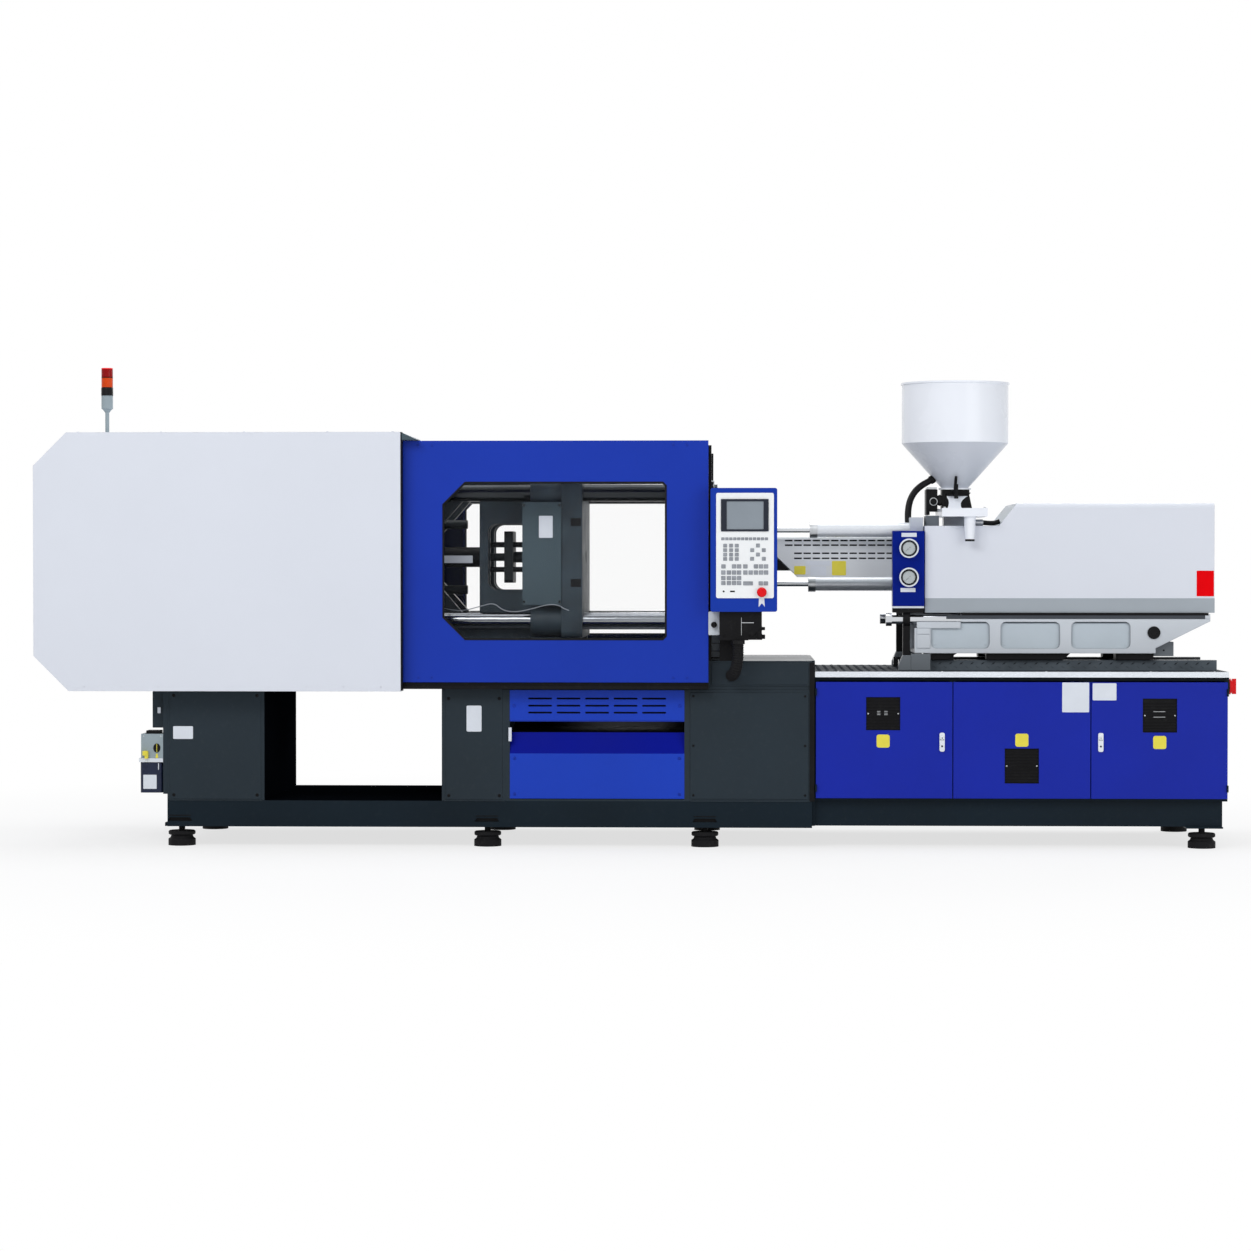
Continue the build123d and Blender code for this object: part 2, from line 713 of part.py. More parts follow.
with BuildPart() as crosshead:
    hull_plate(
        [(crosshead_x, axis_z + pivot_height, crosshead_boss), (crosshead_x, axis_z, crosshead_half)],
        -crosshead_half_width, crosshead_half_width)
    hull_plate(
        [(crosshead_x, axis_z - pivot_height, crosshead_boss), (crosshead_x, axis_z, crosshead_half)],
        -crosshead_half_width, crosshead_half_width)
    # lightening pockets between the bosses
    for side in (-1, 1):
        for rise in (-250, 250):
            y0, y1 = sorted((side * crosshead_half_width, side * 20))
            block(crosshead_x - 24, crosshead_x + 24, y0, y1, axis_z + rise - 60, axis_z + rise + 60, Mode.SUBTRACT)
    for rise in (-crosshead_guide_rise, crosshead_guide_rise):
        rod_x(crosshead_x - crosshead_half, crosshead_x + crosshead_half, 0, axis_z + rise,
              crosshead_guide_radius + running_fit, Mode.SUBTRACT)
    for z in lug_heights:
        rod_y(crosshead_x, z, -crosshead_half_width, crosshead_half_width,
              crank_pin_radius + running_fit, Mode.SUBTRACT)
        rod_y(crosshead_x, z, -crank_link_outer, crank_link_outer, crank_pin_radius)
    rod_x(tail_back_x - piston_setback, crosshead_x - 30, 0, axis_z, rod_radius)
    rod_x(tail_back_x - piston_setback - piston_length, tail_back_x - piston_setback, 0, axis_z,
          cylinder_bore - running_fit)

# Moving platen: mould plate, tie bar sleeves, forked lugs back to the toggle, shoes and pins
sleeve_radius = 66
sleeve_length = 140
lug_window_half = 150

with BuildPart() as moving_platen:
    with BuildSketch(end_plane(plate_back_x)):
        with Locations((0, axis_z)):
            RectangleRounded(2 * platen_half, 2 * platen_half, 30)
    extrude(amount=mould_plate)
    for y, z in corner_points:
        rod_x(plate_back_x - sleeve_length, plate_back_x, y, z, sleeve_radius)
    for inner, outer in ((fork_inner, fork_mid_in), (fork_mid_out, fork_outer)):
        for y0, y1 in both_sides(inner, outer):
            with BuildSketch(side_plane(y1)):
                with BuildLine():
                    Polyline(
                        (plate_back_x, axis_z - platen_half + 20), (plate_back_x, axis_z + platen_half - 20),
                        (front_pivot_x + 20, axis_z + pivot_height + lug_radius - 6),
                        (platen_back_x, axis_z + pivot_height - 30), (platen_back_x, axis_z - pivot_height + 30),
                        (front_pivot_x + 20, axis_z - pivot_height - lug_radius + 6),
                        (plate_back_x, axis_z - platen_half + 20),
                    )
                make_face()
                for z in lug_heights:
                    with Locations((front_pivot_x, z)):
                        Circle(lug_radius - 4)
                # the openings in the lug plates
                with Locations(((platen_back_x + plate_back_x) / 2 - 20, axis_z)):
                    RectangleRounded(260, 2 * lug_window_half, 40, mode=Mode.SUBTRACT)
                for z in lug_heights:
                    with Locations((front_pivot_x, z)):
                        Circle(pin_radius + running_fit, mode=Mode.SUBTRACT)
            extrude(amount=y1 - y0)
    for y, z in corner_points:
        rod_x(plate_back_x - sleeve_length, mould_face_x, y, z, bore_radius, Mode.SUBTRACT)
    # cross ribs between the lug plates, above and below the ejector
    for side in (-1, 1):
        z0, z1 = sorted((axis_z + side * 175, axis_z + side * 199))
        block(platen_back_x + 20, plate_back_x, -fork_outer, fork_outer, z0, z1)
    # ejector holes, the centre hole and the tapped mould fixing holes
    with BuildSketch(end_plane(plate_back_x)):
        with Locations((0, axis_z)):
            Circle(30)
    extrude(amount=mould_plate, mode=Mode.SUBTRACT)
    with BuildSketch(end_plane(mould_face_x)):
        with Locations((0, axis_z)):
            with GridLocations(bolt_pitch, bolt_pitch, 3, 3):
                Circle(bolt_hole_radius)
            Circle(40, mode=Mode.SUBTRACT)
    extrude(amount=-bolt_hole_depth, mode=Mode.SUBTRACT)
    for side in (-1, 1):
        y0, y1 = sorted((side * (tie_half - way_width / 2), side * (tie_half + way_width / 2)))
        block(plate_back_x - sleeve_length, mould_face_x - 8, y0, y1, way_top + running_fit, shoe_top)
    for z in lug_heights:
        for y0, y1 in both_sides(fork_inner, fork_outer):
            rod_y(front_pivot_x, z, y0, y1, pin_radius)

for piece, name in (
    (tie_bars, "tie_bars"),
    (fixed_platen, "fixed_platen"),
    (tail_platen, "tail_platen"),
    (adjusting_nuts, "adjusting_nuts"),
    (clamp_cylinder, "clamp_cylinder"),
    (upper_rear_link, "upper_rear_link"),
    (lower_rear_link, "lower_rear_link"),
    (upper_front_link, "upper_front_link"),
    (lower_front_link, "lower_front_link"),
    (upper_crank_link, "upper_crank_link"),
    (lower_crank_link, "lower_crank_link"),
    (crosshead, "crosshead"),
    (moving_platen, "moving_platen"),
):
    finish(piece, name)

# Platen side cover: a folded sheet screwed to the back of the mould plate
side_cover_left = -513
side_cover_bottom = 1076
side_cover_top = 1538
side_cover_face = 374
side_cover_return = 15
side_cover_sheet = 4

with BuildPart() as platen_side_cover:
    block(side_cover_left, plate_back_x, -side_cover_face, -side_cover_face + side_cover_sheet,
          side_cover_bottom, side_cover_top)
    for z in (side_cover_bottom, side_cover_top - side_cover_sheet):
        block(side_cover_left, plate_back_x, -side_cover_face, -side_cover_face + side_cover_return,
              z, z + side_cover_sheet)
    block(side_cover_left, side_cover_left + side_cover_sheet, -side_cover_face,
          -side_cover_face + side_cover_return, side_cover_bottom, side_cover_top)

# Ejector: a cylinder on a flange held by four guide bars, and the plate with its ejector rods
ejector_guide_radius = 12
ejector_guide_y = 84
ejector_guide_z = 57
ejector_flange = 25
ejector_cylinder_radius = 46
ejector_cylinder_wall = 14
ejector_plate_left = -614
ejector_plate_thickness = 40
ejector_travel = 130
ejector_rod_radius = 18
ejector_pin_radius = 25
ejector_bore = 30
ejector_piston = 16
ejector_pull = ejector_travel + 5
ejector_cylinder_length = ejector_pull + ejector_piston + ejector_cylinder_wall + 13
ejector_guides = [(y, axis_z + z) for y in (-ejector_guide_y, ejector_guide_y)
                  for z in (-ejector_guide_z, ejector_guide_z)]

with BuildPart() as ejector_cylinder:
    with BuildSketch(end_plane(platen_back_x)):
        with Locations((0, axis_z)):
            RectangleRounded(2 * fork_inner - 8, 2 * ejector_guide_z + 56, 12)
    extrude(amount=ejector_flange)
    rod_x(platen_back_x - ejector_cylinder_length, platen_back_x, 0, axis_z, ejector_cylinder_radius)
    rod_x(platen_back_x - ejector_cylinder_length + ejector_cylinder_wall, platen_back_x, 0, axis_z, ejector_bore, Mode.SUBTRACT)
    rod_x(platen_back_x, platen_back_x + ejector_flange, 0, axis_z, ejector_rod_radius + running_fit, Mode.SUBTRACT)
    for y, z in ejector_guides:
        rod_x(platen_back_x + ejector_flange, plate_back_x, y, z, ejector_guide_radius)

with BuildPart() as ejector_plate:
    with BuildSketch(end_plane(ejector_plate_left)):
        with Locations((0, axis_z)):
            RectangleRounded(2 * fork_inner - 12, 236, 16)
        for y, z in ejector_guides:
            with Locations((y, z)):
                Circle(ejector_guide_radius + running_fit, mode=Mode.SUBTRACT)
    extrude(amount=ejector_plate_thickness)
    rod_x(platen_back_x - ejector_pull, ejector_plate_left, 0, axis_z, ejector_rod_radius)
    rod_x(platen_back_x - ejector_pull - ejector_piston, platen_back_x - ejector_pull, 0, axis_z, ejector_bore - running_fit)
    rod_x(ejector_plate_left + ejector_plate_thickness, plate_back_x + 60, 0, axis_z, ejector_pin_radius)

# Control panel: housing, keypad face, screen, raised keys, and its bracket on the machine's deck
panel_left = 335
panel_right = 628
panel_bottom = 1049
panel_top = 1593
panel_front = 675
panel_depth = 84
face_left = 360
face_right = 613
face_bottom = 1109
face_top = 1571
face_sheet = 4
screen_left = 381
screen_right = 590
screen_bottom = 1402
screen_top = 1544
glass_left = 406
glass_right = 568
glass_bottom = 1411
glass_top = 1534
stop_x = 560
stop_z = 1135
stop_radius = 21.5
key_rise = 2
bracket_left = 375
bracket_right = 561
bracket_bottom = 923
panel_back = panel_front - panel_depth
bracket_depth = 110
bracket_back = -base_half_width - base_wall

with BuildPart() as control_panel_housing:
    with BuildSketch(side_plane(-panel_back)):
        with Locations(((panel_left + panel_right) / 2, (panel_bottom + panel_top) / 2)):
            RectangleRounded(panel_right - panel_left, panel_top - panel_bottom, 10)
    extrude(amount=panel_depth)
    rod_y(stop_x, stop_z, -panel_front, -panel_front + 40, 12, Mode.SUBTRACT)
    # the bracket below the housing, its arm and the post down to the deck
    with BuildSketch(side_plane(bracket_back)):
        with BuildLine():
            Polyline(
                (bracket_left, panel_bottom), (bracket_right, panel_bottom), (bracket_right, bracket_bottom + 60),
                (bracket_right - 60, bracket_bottom), (bracket_left, bracket_bottom), (bracket_left, panel_bottom),
            )
        make_face()
    extrude(amount=bracket_depth)
    block(bracket_left, bracket_left + 60, bracket_back, -base_half_width, bracket_bottom, panel_bottom)
    block(bracket_left, bracket_left + 60, -base_half_width, -base_half_width + 60, deck_top, panel_bottom)

with BuildPart() as control_panel_face:
    with BuildSketch(side_plane(-panel_front)):
        with Locations(((face_left + face_right) / 2, (face_bottom + face_top) / 2)):
            RectangleRounded(face_right - face_left, face_top - face_bottom, 8)
        with Locations(((screen_left + screen_right) / 2, (screen_bottom + screen_top) / 2)):
            Rectangle(screen_right - screen_left, screen_top - screen_bottom, mode=Mode.SUBTRACT)
        with Locations((stop_x, stop_z)):
            Circle(12, mode=Mode.SUBTRACT)
    extrude(amount=face_sheet)

with BuildPart() as control_panel_screen:
    with BuildSketch(side_plane(-panel_front)):
        with Locations(((screen_left + screen_right) / 2, (screen_bottom + screen_top) / 2)):
            RectangleRounded(screen_right - screen_left - 1, screen_top - screen_bottom - 1, 6)
    extrude(amount=face_sheet + 5)
    with BuildSketch(side_plane(-panel_front - face_sheet - 5)):
        with Locations(((glass_left + glass_right) / 2, (glass_bottom + glass_top) / 2)):
            RectangleRounded(glass_right - glass_left, glass_top - glass_bottom, 3)
    extrude(amount=-3, mode=Mode.SUBTRACT)

# rows of membrane keys: (left, right, height, key height, pitch)
key_rows = (
    (404, 566, 1356, 14, 20),
    (403, 473, 1334, 13, 23), (403, 473, 1314, 13, 23), (403, 473, 1294, 13, 23), (403, 473, 1274, 13, 23),
    (392, 473, 1247, 15, 20), (392, 473, 1219, 15, 20), (392, 473, 1191, 15, 20), (392, 473, 1163, 15, 20),
    (494, 592, 1247, 15, 24), (494, 592, 1219, 15, 24), (494, 592, 1191, 15, 24), (494, 592, 1163, 15, 24),
    (510, 592, 1328, 15, 27), (510, 592, 1303, 15, 27), (510, 592, 1278, 15, 27),
)
key_gap = 5
with BuildPart() as control_panel_keys:
    for left, right, z, height, pitch in key_rows:
        count = round((right - left) / pitch)
        step = (right - left) / count
        with BuildSketch(side_plane(-panel_front - face_sheet)):
            with Locations(((left + right) / 2, z)):
                with GridLocations(step, 1, count, 1):
                    Rectangle(step - key_gap, height)
        extrude(amount=key_rise)

with BuildPart() as emergency_stop_button:
    with BuildSketch(Plane(origin=(stop_x, 0, stop_z), x_dir=(1, 0, 0), z_dir=(0, 0, 1))):
        with BuildLine():
            Polyline(
                (0, -panel_front + 30), (11.5, -panel_front + 30), (11.5, -panel_front - face_sheet - 8),
                (stop_radius, -panel_front - face_sheet - 10), (stop_radius, -panel_front - face_sheet - 17),
                (stop_radius - 5, -panel_front - face_sheet - 22), (0, -panel_front - face_sheet - 23),
                (0, -panel_front + 30),
            )
        make_face()
    revolve(axis=Axis((stop_x, 0, stop_z), (0, 1, 0)))

# Key switch: a small box beside the panel with a turning knob, and the panel's conduit
switch_x = 350
switch_z = 991
switch_box_front = 604
switch_box_depth = 44

with BuildPart() as key_switch_box:
    with BuildSketch(side_plane(-switch_box_front + switch_box_depth)):
        with Locations((switch_x, (945 + panel_bottom) / 2)):
            RectangleRounded(2 * (bracket_left - switch_x) - 1, panel_bottom - 945, 5)
    extrude(amount=switch_box_depth)
    rod_y(switch_x, switch_z, -switch_box_front, -switch_box_front + 20, 6 + running_fit, Mode.SUBTRACT)

with BuildPart() as key_switch_knob:
    rod_y(switch_x, switch_z, -switch_box_front - 6, -switch_box_front + 18, 6)
    rod_y(switch_x, switch_z, -switch_box_front - 12, -switch_box_front - 1, 13)
    block(switch_x - 4, switch_x + 4, -switch_box_front - 26, -switch_box_front - 12, switch_z - 13, switch_z + 13)

conduit_radius = 25
conduit_x = 455
conduit_y = -640
conduit_z = 765
conduit_bend = 100

with BuildPart() as panel_conduit:
    with BuildLine():
        FilletPolyline(
            (conduit_x, conduit_y, bracket_bottom), (conduit_x, conduit_y, conduit_z),
            (conduit_x, -base_half_width, conduit_z), radius=conduit_bend)
    with BuildSketch(Plane(origin=(conduit_x, conduit_y, bracket_bottom), z_dir=(0, 0, -1))):
        Circle(conduit_radius)
    sweep()

# Lubrication unit on the clamp's left end: bracket and pump with its cap, and the oil reservoir
pump_front = base_half_width
pump_depth = 120
pump_bracket = 19
pump_bracket_bottom = 232
pump_length = 99
pump_bottom = 391
pump_height = 109
pump_cap_length = 60
pump_cap_height = 14
tray_thickness = 17
tray_reach = 108
tank_length = 100
tank_depth = 112
tank_bottom = 237
filler_radius = 9
filler_height = 30
pump_right = base_left - pump_bracket
pump_middle_x = pump_right - pump_length / 2

with BuildPart() as lubrication_pump:
    y0, y1 = -pump_front, -pump_front + pump_depth
    pump_top = pump_bottom + pump_height
    block(pump_right, base_left, y0, y1, pump_bracket_bottom, cover_bottom - 6)
    block(pump_right - pump_length, pump_right, y0, y1, pump_bottom, pump_top)
    block(pump_middle_x - pump_cap_length / 2, pump_middle_x + pump_cap_length / 2, y0 + 20, y1 - 20,
          pump_top, pump_top + pump_cap_height)
    block(pump_right - tray_reach, pump_right, y0 - 4, y1, pump_bottom - tray_thickness, pump_bottom)
    with BuildSketch(Plane.XY.offset(pump_bottom)):
        with Locations((pump_right - pump_length + 2 * filler_radius + 8, y0 - 12)):
            Circle(filler_radius)
    extrude(amount=filler_height)

with BuildPart() as lubrication_reservoir:
    with BuildSketch(Plane.XY.offset(tank_bottom)):
        with Locations((pump_right - tray_reach / 2, (y0 + y1) / 2)):
            RectangleRounded(tank_length, tank_depth, 14)
    extrude(amount=pump_bottom - tray_thickness - tank_bottom)

for piece, name in (
    (platen_side_cover, "platen_side_cover"),
    (ejector_cylinder, "ejector_cylinder"),
    (ejector_plate, "ejector_plate"),
    (control_panel_housing, "control_panel_housing"),
    (control_panel_face, "control_panel_face"),
    (control_panel_screen, "control_panel_screen"),
    (control_panel_keys, "control_panel_keys"),
    (emergency_stop_button, "emergency_stop_button"),
    (key_switch_box, "key_switch_box"),
    (key_switch_knob, "key_switch_knob"),
    (panel_conduit, "panel_conduit"),
    (lubrication_pump, "lubrication_pump"),
    (lubrication_reservoir, "lubrication_reservoir"),
):
    finish(piece, name)

# Injection base: a welded cabinet of three bays on a set-back beam
bay_wall = 16
cabinet_foot_left = 2440
cabinet_foot_right = 2603

with BuildPart() as injection_base_frame:
    block(cabinet_left, cabinet_right, -cabinet_half_depth, cabinet_half_depth, cabinet_bottom, cabinet_top)
    seams = (cabinet_left, door_seam_1, door_seam_2, cabinet_right)
    for x0, x1 in zip(seams[:-1], seams[1:]):
        block(x0 + bay_wall, x1 - bay_wall, -cabinet_half_depth, cabinet_half_depth - bay_wall,
              cabinet_bottom + bay_wall, cabinet_top - bay_wall, Mode.SUBTRACT)
    # the beam underneath, open from below, with plates over the feet
    block(cabinet_left, cabinet_right - 20, -cabinet_half_depth + 20, cabinet_half_depth - 20,
          cabinet_beam_bottom, cabinet_bottom)
    block(cabinet_left + bay_wall, cabinet_foot_left, -cabinet_half_depth + 40, cabinet_half_depth - 40,
          cabinet_beam_bottom, cabinet_bottom - bay_wall, Mode.SUBTRACT)
    for side in (-1, 1):
        y0, y1 = sorted((side * (foot_y - foot_plate), side * (foot_y + foot_plate / 2)))
        block(cabinet_foot_left, cabinet_foot_right, y0, y1, foot_height, cabinet_beam_bottom)
    # the flange that bolts to the clamp's base
    block(base_right, cabinet_left, -cabinet_half_depth, cabinet_half_depth, cabinet_beam_bottom, deck_top)
    # the hinge lugs of the two doors
    for x in (cabinet_left + 4, cabinet_right - 4):
        for z in (door_bottom + 30, door_top - 60):
            block(x - 3, x + 3, -cabinet_half_depth - door_thickness - 12, -cabinet_half_depth, z, z + 30)
    # the mounting plate of the main switch
    block(cabinet_right, cabinet_right + 6, -485, -395, 672, cabinet_top)

# Bed plate with its polished front edge, the two carriage rails, and the guide bars on their posts
rail_left_end = 1180
guide_bar_z = 1010
guide_bar_y = 309
guide_bar_radius = 20
guide_bar_left = 1120
guide_bar_right = 2200
guide_post_left = 1196
guide_post_right = 1228

with BuildPart() as bed_plate:
    block(cabinet_left, cabinet_right, -bed_half_width, bed_half_width, cabinet_top, bed_top)
    for side in (-1, 1):
        block(rail_left_end, cabinet_right - 20, side * rail_half_gauge - rail_width / 2,
              side * rail_half_gauge + rail_width / 2, bed_top, rail_top)
        block(guide_post_left, guide_post_right, side * guide_bar_y - 18, side * guide_bar_y + 18,
              bed_top, guide_bar_z)
        rod_x(guide_post_left, guide_post_right, side * guide_bar_y, guide_bar_z, 34)
        rod_x(guide_bar_left + 26, guide_bar_right, side * guide_bar_y, guide_bar_z, guide_bar_radius)
        rod_x(guide_bar_left, guide_bar_left + 26, side * guide_bar_y, guide_bar_z, guide_bar_radius + 9)


def cabinet_door(x0, x1, vent, hinge_x):
    """A double-skinned door with a recessed vent, given as (left, right, bottom, top)."""
    back = -cabinet_half_depth - running_fit
    with BuildPart() as door:
        with BuildSketch(side_plane(back)):
            with Locations(((x0 + x1) / 2, (door_bottom + door_top) / 2)):
                Rectangle(x1 - x0, door_top - door_bottom)
        extrude(amount=door_thickness)
        face = back - door_thickness
        block(vent[0], vent[1], face, face + 8, vent[2], vent[3], Mode.SUBTRACT)
        pitch = 14
        count = int((vent[3] - vent[2]) // pitch)
        for index in range(count):
            z = vent[2] + (index + 0.5) * pitch
            block(vent[0], vent[1], face + 3, face + 8, z - 2, z + 2)
        if hinge_x is not None:
            # clearance for the hinge lugs
            for z in (door_bottom + 30, door_top - 60):
                block(hinge_x - 4, hinge_x + 4, face, back, z - 1, z + 31, Mode.SUBTRACT)
    return door


left_vent = (1024, 1175, 522, 669)
middle_vent = (1637, 1788, 287, 442)
right_vent = (2245, 2396, 514, 664)
left_cabinet_door = cabinet_door(cabinet_left + seam_gap, door_seam_1 - seam_gap / 2, left_vent, cabinet_left + 4)
cabinet_middle_panel = cabinet_door(door_seam_1 + seam_gap / 2, door_seam_2 - seam_gap / 2, middle_vent, None)
right_cabinet_door = cabinet_door(door_seam_2 + seam_gap / 2, cabinet_right - seam_gap, right_vent,
                                  cabinet_right - 4)

# Door latches: a swing handle on a plate, turning about its own spindle
latch_z = 470
latch_length = 84
latch_width = 23
latch_left_x = 1360
latch_right_x = 2060
door_face = -cabinet_half_depth - running_fit - door_thickness


def door_latch(x):
    """A lever handle lying flat on the door, with its spindle."""
    with BuildPart() as latch:
        with BuildSketch(side_plane(door_face - running_fit)):
            with Locations((x, latch_z)):
                RectangleRounded(latch_width, latch_length, 8)
        extrude(amount=9)
        rod_y(x, latch_z + 18, door_face - 14, door_face - 9, 8)
    return latch


left_door_latch = door_latch(latch_left_x)
right_door_latch = door_latch(latch_right_x)

# Main switch: a red rotary knob on the cabinet's right end
knob_y = -440
knob_z = 716
with BuildPart() as main_switch_knob:
    rod_x(cabinet_right + 6 + running_fit, cabinet_right + 18, knob_y, knob_z, 36)
    rod_x(cabinet_right + 18, cabinet_right + 26, knob_y, knob_z, 30)
    block(cabinet_right + 26, cabinet_right + 43, knob_y - 9, knob_y + 9, knob_z - 34, knob_z + 34)

for piece, name in (
    (injection_base_frame, "injection_base_frame"),
    (bed_plate, "bed_plate"),
    (left_cabinet_door, "left_cabinet_door"),
    (cabinet_middle_panel, "cabinet_middle_panel"),
    (right_cabinet_door, "right_cabinet_door"),
    (left_door_latch, "left_door_latch"),
    (right_door_latch, "right_door_latch"),
    (main_switch_knob, "main_switch_knob"),
):
    finish(piece, name)

# Injection carriage: a bed casting on slide blocks, with the front housing that holds the barrel
slide_block_spans = ((1335, 1425), (1640, 1910), (2150, 2300))
carriage_slope_x = 2325
carriage_slope_z = 882
carriage_end_z = 1003
housing_right = 1560
housing_half = 112
pocket_depth = 12
pocket_spans = ((1322, 1584), (1633, 1898), (1949, 2212))
pocket_bottom = 880
pocket_top = 1000
upright_left = 1232
upright_right = 1290
upright_top = 1470
feed_radius = 22
cowl_pad_width = 24
cowl_pad_length = 60
recess_right = 1455
recess_inner = 270
recess_bottom = 972

with BuildPart() as carriage_base:
    with BuildSketch(side_plane(carriage_half_width)):
        with BuildLine():
            Polyline(
                (carriage_left, carriage_bottom), (carriage_left, carriage_top),
                (carriage_right, carriage_top), (carriage_right, carriage_end_z),
                (carriage_slope_x, carriage_slope_z), (carriage_slope_x, carriage_bottom),
                (carriage_left, carriage_bottom),
            )
        make_face()
    extrude(amount=2 * carriage_half_width)
    for side in (-1, 1):
        # pockets with bowed ends in the casting's flank
        with BuildSketch(side_plane(side * carriage_half_width)):
            for x0, x1 in pocket_spans:
                with Locations(((x0 + x1) / 2, (pocket_bottom + pocket_top) / 2)):
                    RectangleRounded(x1 - x0, pocket_top - pocket_bottom, 24)
        extrude(amount=side * pocket_depth, both=False, mode=Mode.SUBTRACT)
        # the corner cut back where the guide bar enters, and the bar's bore
        y0, y1 = sorted((side * recess_inner, side * (carriage_half_width + 1)))
        block(carriage_left, recess_right, y0, y1, recess_bottom, carriage_top, Mode.SUBTRACT)
        rod_x(carriage_left, carriage_right, side * guide_bar_y, guide_bar_z,
              guide_bar_radius + running_fit, Mode.SUBTRACT)
        for x0, x1 in slide_block_spans:
            block(x0, x1, side * rail_half_gauge - 45, side * rail_half_gauge + 45,
                  rail_top + running_fit, carriage_bottom)
        rod_y(carriage_slope_x - 8, 952, *sorted((side * carriage_half_width, side * (carriage_half_width + 4))), 28)
        # the pads that the cowl stands on
        y0, y1 = sorted((side * cowl_half_width, side * (cowl_half_width - cowl_pad_width)))
        for x in (recess_right + cowl_pad_length, (recess_right + carriage_right) / 2, carriage_right - cowl_pad_length):
            block(x - cowl_pad_length / 2, x + cowl_pad_length / 2, y0, y1, carriage_top, cowl_bottom)
    # the hollow under the casting between its slide blocks
    block(carriage_left + 40, carriage_slope_x - 40, -rail_half_gauge + 60, rail_half_gauge - 60,
          carriage_bottom, carriage_top - 40, Mode.SUBTRACT)
    # upright plate, housing and its pedestal
    block(upright_left, upright_right, -250, 250, carriage_top, upright_top)
    block(upright_left, carriage_left, -250, 250, carriage_bottom + 20, carriage_top)
    block(upright_right, housing_right, -housing_half, housing_half, carriage_top, axis_z + housing_half)
    block(housing_right - 40, housing_right, -230, 230, carriage_top, axis_z + 90)
    rod_x(upright_left, housing_right, 0, axis_z, barrel_radius + running_fit, Mode.SUBTRACT)
    with BuildSketch(Plane.XY.offset(axis_z)):
        with Locations((hopper_x, 0)):
            Circle(feed_radius)
    extrude(amount=housing_half, mode=Mode.SUBTRACT)

# Barrel: a bored tube with a nozzle head, a nozzle and a hot tip
nozzle_body_radius = 30
nozzle_body_left = 215

with BuildPart() as barrel:
    with BuildSketch(Plane(origin=(0, 0, axis_z), x_dir=(1, 0, 0), z_dir=(0, -1, 0))):
        with BuildLine():
            Polyline(
                (nozzle_tip_x, 3), (nozzle_tip_x, 12), (nozzle_body_left, nozzle_body_radius - 4),
                (nozzle_body_left + 20, nozzle_body_radius), (barrel_front_x - 60, nozzle_body_radius),
                (barrel_front_x - 20, barrel_radius - 6), (barrel_front_x, barrel_radius),
                (barrel_rear_x, barrel_radius), (barrel_rear_x, barrel_bore),
                (barrel_front_x + 40, barrel_bore), (barrel_front_x - 4, 6), (nozzle_tip_x, 3),
            )
        make_face()
    revolve(axis=Axis((0, 0, axis_z), (1, 0, 0)))
    with BuildSketch(Plane.XY.offset(axis_z)):
        with Locations((hopper_x, 0)):
            Circle(feed_radius)
    extrude(amount=barrel_radius + 5, mode=Mode.SUBTRACT)
    # heater bands clamped round the barrel
    band_start = barrel_front_x + 40
    band_length = 90
    band_pitch = 122
    for index in range(7):
        x = band_start + index * band_pitch
        with BuildSketch(end_plane(x)):
            with Locations((0, axis_z)):
                Circle(barrel_radius + 8)
                Circle(barrel_radius + running_fit, mode=Mode.SUBTRACT)
        extrude(amount=band_length)

# Barrel guard: a perforated sheet hood, open underneath, with its lower front corner cut away
guard_left = 600
guard_right = upright_left
guard_bottom = 1200
guard_top = 1383
guard_half_width = 96
guard_sheet = 3
guard_slot_length = 35
guard_slot_height = 7
guard_slot_pitch = 42
guard_slot_rows = (1367, 1346, 1309, 1286)
guard_cut_x = 730
guard_cut_z = 1287

with BuildPart() as barrel_guard:
    block(guard_left, guard_right, -guard_half_width, guard_half_width, guard_bottom, guard_top)
    fillet(barrel_guard.edges().filter_by(Axis.X).group_by(Axis.Z)[-1], 14)
    with BuildSketch(side_plane(guard_half_width)):
        with BuildLine():
            Polyline(
                (guard_left - 1, guard_bottom - 1), (guard_left - 1, guard_cut_z + 40), (guard_cut_x, guard_bottom - 1),
                (guard_left - 1, guard_bottom - 1),
            )
        make_face()
    extrude(amount=2 * guard_half_width, mode=Mode.SUBTRACT)
    ends = barrel_guard.faces().sort_by(Axis.X)
    offset(amount=-guard_sheet, openings=barrel_guard.faces().sort_by(Axis.Z)[:1] + ends[-1:],
           kind=Kind.INTERSECTION)
    block(guard_left - 1, guard_cut_x + 8, -guard_half_width + guard_sheet, guard_half_width - guard_sheet,
          guard_bottom - 1, guard_top - guard_sheet - 14, Mode.SUBTRACT)
    with BuildSketch(side_plane(guard_half_width)):
        for z in guard_slot_rows:
            with Locations(((guard_cut_x + guard_right) / 2, z)):
                with GridLocations(guard_slot_pitch, 1, 11, 1):
                    SlotOverall(guard_slot_length, guard_slot_height)
    extrude(amount=2 * guard_half_width, mode=Mode.SUBTRACT)

# Screw: check-ring tip, stem with its thrust collar, and plain shank into the drive plate
screw_tip_x = barrel_front_x + 44
shank_radius = 20
drive_left = 1960
drive_thickness = 60
stem_radius = 17

